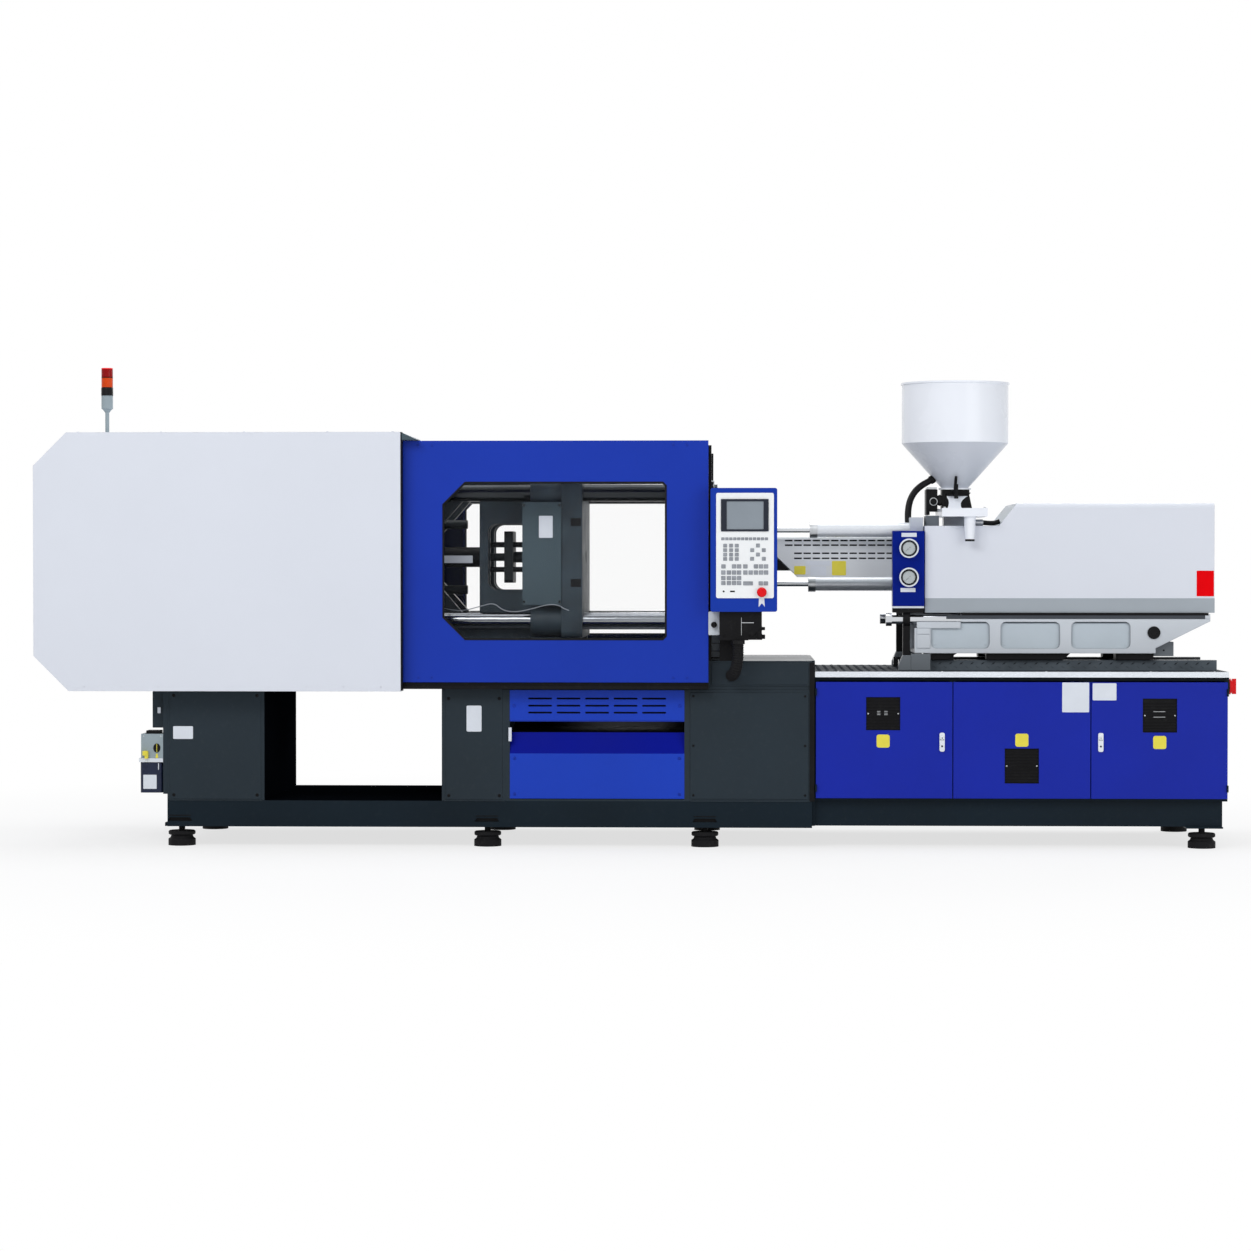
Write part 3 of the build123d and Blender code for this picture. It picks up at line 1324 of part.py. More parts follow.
with BuildPart() as screw:
    with BuildSketch(Plane(origin=(0, 0, axis_z), x_dir=(1, 0, 0), z_dir=(0, -1, 0))):
        with BuildLine():
            Polyline(
                (screw_tip_x, 0), (screw_tip_x + 34, screw_radius - 6), (screw_tip_x + 46, screw_radius - 6),
                (screw_tip_x + 46, screw_radius), (screw_tip_x + 84, screw_radius), (screw_tip_x + 84, stem_radius),
                (barrel_rear_x - 60, stem_radius), (barrel_rear_x - 60, screw_radius),
                (barrel_rear_x - 10, screw_radius), (barrel_rear_x - 10, shank_radius),
                (drive_left + drive_thickness, shank_radius), (drive_left + drive_thickness, 0), (screw_tip_x, 0),
            )
        make_face()
    revolve(axis=Axis((0, 0, axis_z), (1, 0, 0)))

# Injection cylinders on the housing's back, and the drive plate with their rods and the screw motor
inject_y = 160
inject_left = housing_right
inject_right = 1880
inject_radius = 55
inject_bore = 38
inject_rod = 18
inject_piston_x = 1640
motor_radius = 88
motor_length = 210

with BuildPart() as injection_cylinders:
    for side in (-1, 1):
        y = side * inject_y
        rod_x(inject_left, inject_right, y, axis_z, inject_radius)
        rod_x(inject_left, inject_left + 24, y, axis_z, inject_radius + 12)
        rod_x(inject_right - 30, inject_right, y, axis_z, inject_radius + 8)
        rod_x(inject_left + 20, inject_right - 20, y, axis_z, inject_bore, Mode.SUBTRACT)
        rod_x(inject_right - 30, inject_right, y, axis_z, inject_rod + running_fit, Mode.SUBTRACT)

with BuildPart() as drive_plate:
    with BuildSketch(end_plane(drive_left)):
        with Locations((0, axis_z)):
            RectangleRounded(2 * inject_y + 120, 220, 30)
    extrude(amount=drive_thickness)
    block(drive_left, drive_left + drive_thickness, -120, 120, carriage_top + running_fit, axis_z)
    rod_x(drive_left, drive_left + drive_thickness, 0, axis_z, shank_radius + running_fit, Mode.SUBTRACT)
    for side in (-1, 1):
        rod_x(inject_piston_x, drive_left, side * inject_y, axis_z, inject_rod)
        rod_x(inject_piston_x - 28, inject_piston_x, side * inject_y, axis_z, inject_bore - running_fit)
    # the radial piston motor that turns the screw
    motor_start = drive_left + drive_thickness
    with BuildSketch(end_plane(motor_start)):
        with Locations((0, axis_z)):
            RegularPolygon(motor_radius, 10)
    extrude(amount=motor_length - 60)
    rod_x(motor_start + motor_length - 60, motor_start + motor_length, 0, axis_z, motor_radius - 24)

# Cowl over the injection unit: a sheet hood with a stepped top, and a hole for the feed neck
neck_half = 55
with BuildPart() as injection_cowl:
    with BuildSketch(side_plane(cowl_half_width)):
        with BuildLine():
            Polyline(
                (cowl_left, cowl_bottom), (cowl_left, cowl_low_top), (cowl_step_left, cowl_low_top),
                (cowl_step_right, cowl_top), (cowl_right, cowl_top), (cowl_right, cowl_bottom),
                (cowl_left, cowl_bottom),
            )
        make_face()
    extrude(amount=2 * cowl_half_width)
    fillet(injection_cowl.edges().filter_by(Axis.X).group_by(Axis.Z)[-1], 20)
    offset(amount=-cowl_sheet, openings=injection_cowl.faces().sort_by(Axis.Z)[:1], kind=Kind.INTERSECTION)
    block(cowl_left - 1, cowl_left + cowl_sheet + 1, -cowl_half_width + 30, cowl_half_width - 30,
          cowl_bottom, cowl_low_top - 20, Mode.SUBTRACT)
    block(hopper_x - neck_half - 1, hopper_x + neck_half + 1, -neck_half - 1, neck_half + 1,
          cowl_low_top - 2 * cowl_sheet, cowl_low_top + 1, Mode.SUBTRACT)

# Hopper: a spun sheet drum and cone with a rolled rim and a mouth flange
with BuildPart() as hopper:
    with BuildSketch(Plane(origin=(hopper_x, 0, 0), x_dir=(1, 0, 0), z_dir=(0, -1, 0))):
        with BuildLine():
            Polyline(
                (hopper_mouth_radius, hopper_mouth_z), (hopper_mouth_radius + 16, hopper_mouth_z),
                (hopper_mouth_radius + 16, hopper_mouth_z + 8), (hopper_mouth_radius + 3, hopper_mouth_z + 8),
                (hopper_radius, hopper_shoulder_z), (hopper_radius, hopper_rim_z - 10),
                (hopper_radius + 5, hopper_rim_z - 8), (hopper_radius + 5, hopper_rim_z),
                (hopper_radius - hopper_sheet, hopper_rim_z), (hopper_radius - hopper_sheet, hopper_shoulder_z + 1),
                (hopper_mouth_radius, hopper_mouth_z + 8), (hopper_mouth_radius, hopper_mouth_z),
            )
        make_face()
    revolve(axis=Axis((hopper_x, 0, 0), (0, 0, 1)))

# Hopper throat: the neck on the housing, the slide base with its drain spout, and the shut-off body
base_plate_bottom = 1472
base_plate_top = 1509
spout_x = 1492
spout_y = -365
throat_half = 62
blade_low = 1572
blade_high = 1578
blade_half = 40
blade_gap = 0.3

with BuildPart() as hopper_throat:
    block(1366, 1569, -400, 100, base_plate_bottom, base_plate_top)
    block(hopper_x - neck_half, hopper_x + neck_half, -neck_half, neck_half, axis_z + housing_half, base_plate_bottom)
    block(hopper_x - throat_half, hopper_x + throat_half, -throat_half, throat_half,
          base_plate_top, hopper_mouth_z)
    # the slot that the shut-off blade slides in, open towards the front
    block(hopper_x - blade_half - blade_gap, hopper_x + blade_half + blade_gap, -throat_half, blade_half + 4,
          blade_low - blade_gap, blade_high + blade_gap, Mode.SUBTRACT)
    with BuildSketch(Plane.XY.offset(axis_z + housing_half)):
        with Locations((hopper_x, 0)):
            Circle(feed_radius)
    extrude(amount=hopper_mouth_z - axis_z - housing_half, mode=Mode.SUBTRACT)
    # the tapered drain spout
    with BuildSketch(Plane.XY.offset(base_plate_bottom)):
        with Locations((spout_x, spout_y)):
            Circle(27)
    with BuildSketch(Plane.XY.offset(1362)):
        with Locations((spout_x, spout_y)):
            Circle(20)
    loft()
    with BuildSketch(Plane.XY.offset(1362)):
        with Locations((spout_x, spout_y)):
            Circle(15)
    extrude(amount=base_plate_top - 1362, mode=Mode.SUBTRACT)
    # the magnet block and the valve block to the left of the throat
    block(1330, 1366, -60, 60, 1500, 1600)
    block(1366, hopper_x - throat_half, -40, 40, 1530, 1572)

with BuildPart() as slide_gate:
    block(hopper_x - blade_half, hopper_x + blade_half, -throat_half - 24, blade_half, blade_low, blade_high)
    block(hopper_x - 9, hopper_x + 9, -throat_half - 34, -throat_half - 24, blade_low - 14, blade_high + 46)

# Gauge panel beside the cowl, with two pressure gauges
gauge_panel_left = 1149
gauge_panel_right = 1291
gauge_panel_bottom = 1071
gauge_panel_top = 1408
gauge_panel_front = 345
gauge_panel_back = 250
gauge_x = 1221
gauge_heights = (1330, 1200)
gauge_radius = 43

with BuildPart() as gauge_panel:
    with BuildSketch(side_plane(-gauge_panel_back)):
        with Locations(((gauge_panel_left + gauge_panel_right) / 2, (gauge_panel_bottom + gauge_panel_top) / 2)):
            Rectangle(gauge_panel_right - gauge_panel_left, gauge_panel_top - gauge_panel_bottom)
    extrude(amount=gauge_panel_front - gauge_panel_back)
    for z in gauge_heights:
        rod_y(gauge_x, z, -gauge_panel_front - 26, -gauge_panel_front, gauge_radius)
        rod_y(gauge_x, z, -gauge_panel_front - 26, -gauge_panel_front - 21, gauge_radius - 6, Mode.SUBTRACT)

# Carriage cylinders on the upright, and their rods from the fixed platen
tube_left = 803
tube_radius = 33
tube_bore = 22
head_left = 781
head_radius = 38
ram_radius = 13
ram_piston_x = 1180
ram_piston = 24
ram_eye = 34

with BuildPart() as carriage_cylinders:
    for side in (-1, 1):
        y = side * carriage_cylinder_side
        z = axis_z - side * carriage_cylinder_rise
        rod_x(tube_left, upright_left, y, z, tube_radius)
        rod_x(head_left, tube_left + 12, y, z, head_radius)
        rod_x(tube_left + 10, upright_left - 8, y, z, tube_bore, Mode.SUBTRACT)
        rod_x(head_left, tube_left + 12, y, z, ram_radius + running_fit, Mode.SUBTRACT)

with BuildPart() as carriage_rods:
    for side in (-1, 1):
        y = side * carriage_cylinder_side
        z = axis_z - side * carriage_cylinder_rise
        rod_x(fixed_back_x, ram_piston_x, y, z, ram_radius)
        rod_x(ram_piston_x, ram_piston_x + ram_piston, y, z, tube_bore - running_fit)
        rod_x(fixed_back_x, fixed_back_x + ram_eye, y, z, ram_radius + 14)

for piece, name in (
    (carriage_base, "carriage_base"),
    (barrel, "barrel"),
    (barrel_guard, "barrel_guard"),
    (screw, "screw"),
    (injection_cylinders, "injection_cylinders"),
    (drive_plate, "drive_plate"),
    (injection_cowl, "injection_cowl"),
    (hopper, "hopper"),
    (hopper_throat, "hopper_throat"),
    (slide_gate, "slide_gate"),
    (gauge_panel, "gauge_panel"),
    (carriage_cylinders, "carriage_cylinders"),
    (carriage_rods, "carriage_rods"),
):
    finish(piece, name)
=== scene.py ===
from itertools import product
from math import atan2, cos, hypot, pi, radians, sin

import bmesh
import bpy
from mathutils import Matrix, Vector


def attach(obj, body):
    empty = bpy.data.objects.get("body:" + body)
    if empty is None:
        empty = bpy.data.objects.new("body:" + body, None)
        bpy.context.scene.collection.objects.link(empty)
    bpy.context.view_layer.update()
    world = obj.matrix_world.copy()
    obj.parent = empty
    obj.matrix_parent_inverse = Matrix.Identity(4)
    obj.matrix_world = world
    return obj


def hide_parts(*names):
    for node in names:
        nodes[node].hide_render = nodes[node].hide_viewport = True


# An injection moulding machine. X runs from the clamp to the injection unit, Y to the rear, Z up, in metres.
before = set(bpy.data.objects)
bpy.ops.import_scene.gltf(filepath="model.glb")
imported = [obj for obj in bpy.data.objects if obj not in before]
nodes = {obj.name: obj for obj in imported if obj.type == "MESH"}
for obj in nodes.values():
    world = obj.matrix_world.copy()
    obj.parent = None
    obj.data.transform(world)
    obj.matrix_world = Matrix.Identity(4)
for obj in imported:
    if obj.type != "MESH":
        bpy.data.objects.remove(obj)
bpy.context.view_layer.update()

BASE = "machine_base"
UP = (0, 0, 1)
FRONT = (0, -1, 0)
REAR = (0, 1, 0)
RIGHT = (1, 0, 0)
SIDES = (-1, 1)
BASE_Y = -0.52
DOOR_Y = -0.5193
TOWER = (-2.402, -0.3)
FEET_X = (-2.037, -0.662, 0.309, 2.513)
GAUGES = (1.33, 1.2)
GAUGE_X = 1.221


# Materials
def new_material(name):
    material = bpy.data.materials.new(name)
    material.use_nodes = True
    tree = material.node_tree
    return material, tree, tree.nodes["Principled BSDF"]


def wire(tree, node, links=(), **values):
    """Give a node its sockets' values, with _ for a space, and the outputs that feed it."""
    for socket, value in values.items():
        node.inputs[socket.replace("_", " ")].default_value = value
    for socket, output in dict(links).items():
        tree.links.new(output, node.inputs[socket])
    return node


def add_node(tree, kind, links=(), **values):
    return wire(tree, tree.nodes.new(f"ShaderNode{kind}"), links, **values)


def add_noise(tree, scale, detail, roughness=0.55, stretch=None):
    """A noise over the object's own coordinates, stretched along an axis where asked."""
    place = add_node(tree, "TexCoord").outputs["Object"]
    if stretch:
        place = add_node(tree, "Mapping", {"Vector": place}, Scale=stretch).outputs["Vector"]
    noise = add_node(tree, "TexNoise", {"Vector": place}, Scale=scale, Detail=detail, Roughness=roughness)
    return noise.outputs["Fac"]


def ramp(tree, source, stops):
    node = add_node(tree, "ValToRGB", {"Fac": source})
    while len(node.color_ramp.elements) < len(stops):
        node.color_ramp.elements.new(0.5)
    for element, (place, colour) in zip(node.color_ramp.elements, stops):
        element.position = place
        element.color = (*colour, 1)
    return node.outputs["Color"]


def add_bump(tree, height, strength):
    return add_node(tree, "Bump", {"Height": height}, Strength=strength, Distance=0.001)


def grey(value):
    return (value, value, value)


def scaled(colour, factor):
    return tuple(min(1.0, c * factor) for c in colour)


def paint(name, colour, rough, vary=0.1, vary_scale=2.2, grain=0.02, grain_scale=420.0, edge=0.0016,
        metallic=0.0, coat=0.0, dust=0.0, rough_span=0.08, stretch=None, specular=0.16):
    """A paint, metal or plastic: a colour that varies a little, grain, roughness and softened edges."""
    material, tree, shader = new_material(name)
    broad = add_noise(tree, vary_scale, 5.0)
    out = ramp(tree, broad, [(0.3, scaled(colour, 1.0 - vary)), (0.52, colour),
        (0.74, scaled(colour, 1.0 + vary))])
    if dust:
        mask = ramp(tree, add_noise(tree, 38.0, 6.0, 0.7), [(0.55, grey(0.0)), (0.75, grey(dust))])
        mix = tree.nodes.new("ShaderNodeMix")
        mix.data_type = "RGBA"
        wire(tree, mix, {"Factor": mask, "A": out}, B=(0.3, 0.29, 0.27, 1))
        out = mix.outputs["Result"]
    fine = add_noise(tree, grain_scale, 2.0, 0.5, stretch)
    gloss = ramp(tree, fine if stretch else broad, [(0.3, grey(max(0.03, rough - rough_span))),
        (0.7, grey(min(1.0, rough + rough_span)))])
    bump = add_bump(tree, fine, grain)
    if edge:
        soft = add_node(tree, "Bevel", Radius=edge)
        soft.samples = 4
        tree.links.new(soft.outputs["Normal"], bump.inputs["Normal"])
    wire(tree, shader, {"Base Color": out, "Roughness": gloss, "Normal": bump.outputs["Normal"]},
        Metallic=metallic, Specular_IOR_Level=0.5 if metallic else specular, Coat_Weight=coat,
        Coat_Roughness=0.12)
    return material


# Name, colour, roughness, variation and its scale, grain and its scale, softened edge
WHITE = paint("white_paint", (0.71, 0.74, 0.81), 0.44, 0.02, 0.9, 0.05, edge=0.003)
HOPPER = paint("hopper_paint", (0.86, 0.89, 0.95), 0.26, 0.02, 3, edge=0, coat=0.25)
BLUE = paint("blue_paint", (0.005, 0.034, 0.385), 0.38, 0.07, 1.3, 0.1, 650, 0.002, coat=0.05)
DOOR_BLUE = paint("door_blue_paint", (0.003, 0.016, 0.335), 0.38, 0.09, 1.6, 0.1, 650, 0.002, coat=0.05)
PANEL_BLUE = paint("panel_blue_paint", (0.002, 0.034, 0.355), 0.34, 0.06, 2.2, 0.1, 700, 0.003, coat=0.05)
GAUGE_BLUE = paint("gauge_blue_paint", (0.001, 0.012, 0.215), 0.36, 0.07, 2.2, 0.08, 650, specular=0.06)
DARK = paint("dark_paint", (0.017, 0.027, 0.036), 0.5, 0.14, 1.5, 0.16, 520, 0.0025, dust=0.02)
# near black and matt: painted shade on the base's inner walls between the pedestals
SHADE_DARK = paint("base_inner_painted_shade", (0.003, 0.004, 0.006), 0.85, 0.14, 1.5, 0.16, 520, 0.0025, specular=0)
BEAM = paint("beam_paint", (0.006, 0.013, 0.02), 0.48, 0.16, 1.7, 0.14, 520, 0.0025, dust=0.015,
    specular=0.1)
CASTING = paint("casting_paint", (0.016, 0.022, 0.027), 0.5, 0.35, 9, 0.9, 110, 0.004, dust=0.1,
    specular=0.22)
PLATEN = paint("platen_paint", (0.034, 0.049, 0.062), 0.46, 0.3, 8, 0.6, 130, 0.003, dust=0.1)
SIDE_GREY = paint("side_cover_paint", (0.055, 0.082, 0.099), 0.42, 0.1, 3, 0.2, 300)
PALE_GREY = paint("pale_grey_paint", (0.6, 0.64, 0.69), 0.42, 0.05, 3, 0.22, 260, 0.005)
GUARD = paint("guard_grey_paint", (0.72, 0.75, 0.77), 0.42, 0.05, 3, 0.1, 400)
POCKET_GREY = paint("pocket_grey_paint", (0.53, 0.6, 0.66), 0.42, 0.05, 3, 0.3, 200)
SHADE_GREY = paint("shade_grey_paint", (0.37, 0.41, 0.45), 0.42, 0.05, 2.2, 0.05)
SHADOW_GREY = paint("shadow_grey_paint", (0.065, 0.073, 0.085), 0.5, 0.08, 2.2, 0.1, 300, specular=0.05)
RAIL_GREY = paint("rail_grey_paint", (0.095, 0.115, 0.135), 0.55, 0.22, 9, 0.3, 240, 0.0015, dust=0.1,
    specular=0.06)
MID_GREY = paint("mid_grey_paint", (0.16, 0.18, 0.2), 0.42, 0.08, 2.2, 0.1, 300)
# lighter and darker copies of the blue paint for the chute: painted light on its lower panel, painted shade
# on its slanted strip
CHUTE_LIT_BLUE = paint("chute_painted_light_blue", (0.007, 0.046, 0.47), 0.38, 0.07, 1.3, 0.1, 650, 0.002, coat=0.05)
CHUTE_SHADE = paint("chute_shade_paint", (0.001, 0.006, 0.26), 0.48, 0.07, 2.2, 0.1, 650, 0.002,
    specular=0.05)
# a darker copy of the hopper's white: painted shade on the cone
CONE_SHADED_WHITE = paint("cone_painted_shade", (0.62, 0.65, 0.71), 0.3, 0.02, 3, edge=0, coat=0.25)
BLACK = paint("black_paint", (0.006, 0.006, 0.007), 0.42, 0.2, 6, 0.1, 300, dust=0.03, specular=0.1)
PLASTIC = paint("black_plastic", (0.007, 0.007, 0.008), 0.46, 0.2, 9, 0.25, 900, 0.001, specular=0.12)
RUBBER = paint("rubber", (0.008, 0.008, 0.009), 0.66, 0.25, 12, 0.35, 500, 0.001, dust=0.06, specular=0.12)
STEEL = paint("machined_steel", (0.4, 0.42, 0.45), 0.32, 0.07, 5, 0.1, 90, 0.0012, metallic=1,
    rough_span=0.1, stretch=(0.6, 30, 30))
# a near-black base colour: painted dark reflection, on the tie bars, rails, crosshead and bolts
DARK_STEEL = paint("steel_painted_dark_reflection", (0.03, 0.033, 0.036), 0.2, 0.3, 4, 0.12, 60, 0, metallic=1, rough_span=0.1,
    stretch=(0.15, 26, 26))
ZINC = paint("zinc_plate", (0.52, 0.54, 0.56), 0.34, 0.1, 22, 0.08, edge=0.0008, metallic=1)
# a brighter copy of the tie bars' steel: painted highlight on the front lower tie bar
HIGHLIT_BAR = paint("tie_bar_painted_highlight", (0.3, 0.32, 0.35), 0.1, 0.06, 4, 0.03, 160, 0, metallic=1, rough_span=0.03,
    stretch=(0.3, 20, 20))
CHROME = paint("chrome", (0.62, 0.64, 0.67), 0.12, 0.03, 4, 0.02, 260, 0, metallic=1, rough_span=0.04,
    stretch=(0.5, 20, 20))
ALUMINIUM = paint("aluminium_tube", (0.7, 0.73, 0.77), 0.32, 0.04, 4, 0.05, 160, 0, metallic=0.3,
    stretch=(0.4, 24, 24))
STRIP = paint("bright_strip", (0.76, 0.8, 0.85), 0.26, 0.06, 6, 0.08, 120, metallic=0.25,
    stretch=(0.5, 24, 24))
TREAD = paint("tread_plate", (0.036, 0.042, 0.05), 0.66, 0.18, 5, 0.2, 240, 0.0008, dust=0.1, specular=0.02)
BRASS = paint("brass", (0.5, 0.34, 0.12), 0.32, 0.1, 20, 0.05, metallic=1)
FACE = paint("keypad_film", (0.88, 0.9, 0.91), 0.4, 0.015, 6, 0.25, 1600, 0.0006)
KEY = paint("key_grey", (0.3, 0.32, 0.35), 0.42, 0.22, 38, 0.2, 1600, 0.0006)
BEZEL = paint("screen_bezel", (0.02, 0.024, 0.036), 0.34, 0.08, 2.2, 0.05, edge=0.0006)
SCREEN = paint("screen_glass", (0.26, 0.3, 0.34), 0.1, 0.1, 2.5, 0, edge=0, coat=0.4)
RED = paint("red_plastic", (0.76, 0.001, 0.006), 0.3, 0.05, 20, 0.04, edge=0.0008, coat=0.12)
LABEL = paint("label_film", (0.7, 0.74, 0.8), 0.36, 0.03, 14, 0.05, edge=0)
YELLOW = paint("yellow_film", (0.8, 0.7, 0.08), 0.36, 0.05, 18, 0.04, edge=0)
RED_FILM = paint("red_film", (0.8, 0.001, 0.004), 0.42, 0.04, 14, 0.03, edge=0, specular=0.03)
# a darker copy of the blue: painted shade on the rear gate's inner face
GATE_INNER_SHADE = paint("gate_inner_painted_shade", (0.003, 0.006, 0.036), 0.5, 0.08, 2.2, 0.1, 650, 0.002, specular=0.05)
HOSE_GREY = paint("hose_grey", (0.34, 0.37, 0.41), 0.4, 0.05, 30, 0.05, edge=0)
DIAL = paint("dial_white", (0.5, 0.54, 0.55), 0.4, 0.03, 20, 0.03, edge=0)
TANK = paint("oil_tank", (0.008, 0.014, 0.04), 0.26, 0.25, 9, 0.05, coat=0.2)
PUMP = paint("pump_grey", (0.3, 0.36, 0.39), 0.4, 0.06, 10, 0.12, 500)


def clear_material(name, colour, alpha, rough=0.05):
    """A clear pane: mostly see-through, with the gloss of polycarbonate."""
    material, tree, shader = new_material(name)
    gloss = ramp(tree, add_noise(tree, 3.0, 5.0), [(0.3, grey(rough)), (0.7, grey(rough + 0.05))])
    wire(tree, shader, {"Roughness": gloss}, Base_Color=(*colour, 1), IOR=1.58, Alpha=alpha)
    return material


PANE = clear_material("clear_pane", (0.2, 0.22, 0.24), 0.016)
GAUGE_GLASS = clear_material("gauge_glass", (0.3, 0.34, 0.36), 0.03, 0.03)


def lens_material(name, colour):
    """A moulded lens with upright ribs; the colour is deeper between them."""
    material, tree, shader = new_material(name)
    wave = add_node(tree, "TexWave", {"Vector": add_node(tree, "TexCoord").outputs["Object"]}, Scale=60.0)
    wave.bands_direction = "X"
    ribs = wave.outputs["Fac"]
    tint = ramp(tree, ribs, [(0.2, scaled(colour, 0.55)), (0.8, colour)])
    wire(tree, shader, {"Base Color": tint, "Normal": add_bump(tree, ribs, 0.35).outputs["Normal"]},
        Roughness=0.24, Specular_IOR_Level=0.16)
    return material


RED_LENS = lens_material("red_lens", (0.34, 0.001, 0.002))
AMBER_LENS = lens_material("amber_lens", (0.8, 0.075, 0.006))


# Meshes
def placed(name, data):
    """A new object in the scene."""
    thing = bpy.data.objects.new(name, data)
    bpy.context.collection.objects.link(thing)
    return thing


def soften(part, edges, size):
    if size:
        bmesh.ops.bevel(part, geom=edges, offset=size, segments=2, profile=0.6, affect="EDGES",
            clamp_overlap=True)


def circle(part, middle, side, other, radius, steps):
    """Vertices round a middle, or the middle alone where there is no radius."""
    if radius < 1e-7:
        return [part.verts.new(middle)]
    angles = [2 * pi * k / steps for k in range(steps)]
    return [part.verts.new(middle + (side * cos(a) + other * sin(a)) * radius) for a in angles]


def skin(part, rings):
    """Faces from ring to ring; a ring of one point closes to a cone."""
    for first, second in zip(rings, rings[1:]):
        count = max(len(first), len(second))
        for k in range(count):
            m = (k + 1) % count
            corners = (first[k % len(first)], second[k % len(second)], second[m % len(second)],
                first[m % len(first)])
            corners = list(dict.fromkeys(corners))
            if len(corners) > 2:
                part.faces.new(corners)


def across(side, near, far):
    """Two distances off the middle plane, as the lower and the higher Y on one side."""
    return sorted((side * near, side * far))


def leaning(place, angle):
    """A placement that tilts a form upward by an angle."""
    return Matrix.Translation(place) @ Matrix.Rotation(-angle, 4, "Y")


def evenly(start, step, count):
    return tuple(start + step * k for k in range(count))


def smooth_line(points, spans=8):
    """Points along a Catmull-Rom line through the given ones."""
    known = [Vector(p) for p in points]
    padded = [known[0] * 2 - known[1]] + known + [known[-1] * 2 - known[-2]]
    line = []
    for i in range(1, len(padded) - 2):
        a, b, c, d = padded[i - 1:i + 3]
        for k in range(spans):
            t = k / spans
            spot = 2 * b + (c - a) * t + (2 * a - 5 * b + 4 * c - d) * t * t
            line.append(0.5 * (spot + (3 * b - a - 3 * c + d) * t ** 3))
    line.append(known[-1])
    return line


def rounded(x0, x1, z0, z1, radius, steps=5):
    """The outline of a rectangle with rounded corners."""
    points = []
    for cx, cz, start in ((x1 - radius, z1 - radius, 0), (x0 + radius, z1 - radius, 90),
            (x0 + radius, z0 + radius, 180), (x1 - radius, z0 + radius, 270)):
        for k in range(steps + 1):
            a = radians(start + 90 * k / steps)
            points.append((cx + radius * cos(a), cz + radius * sin(a)))
    return points


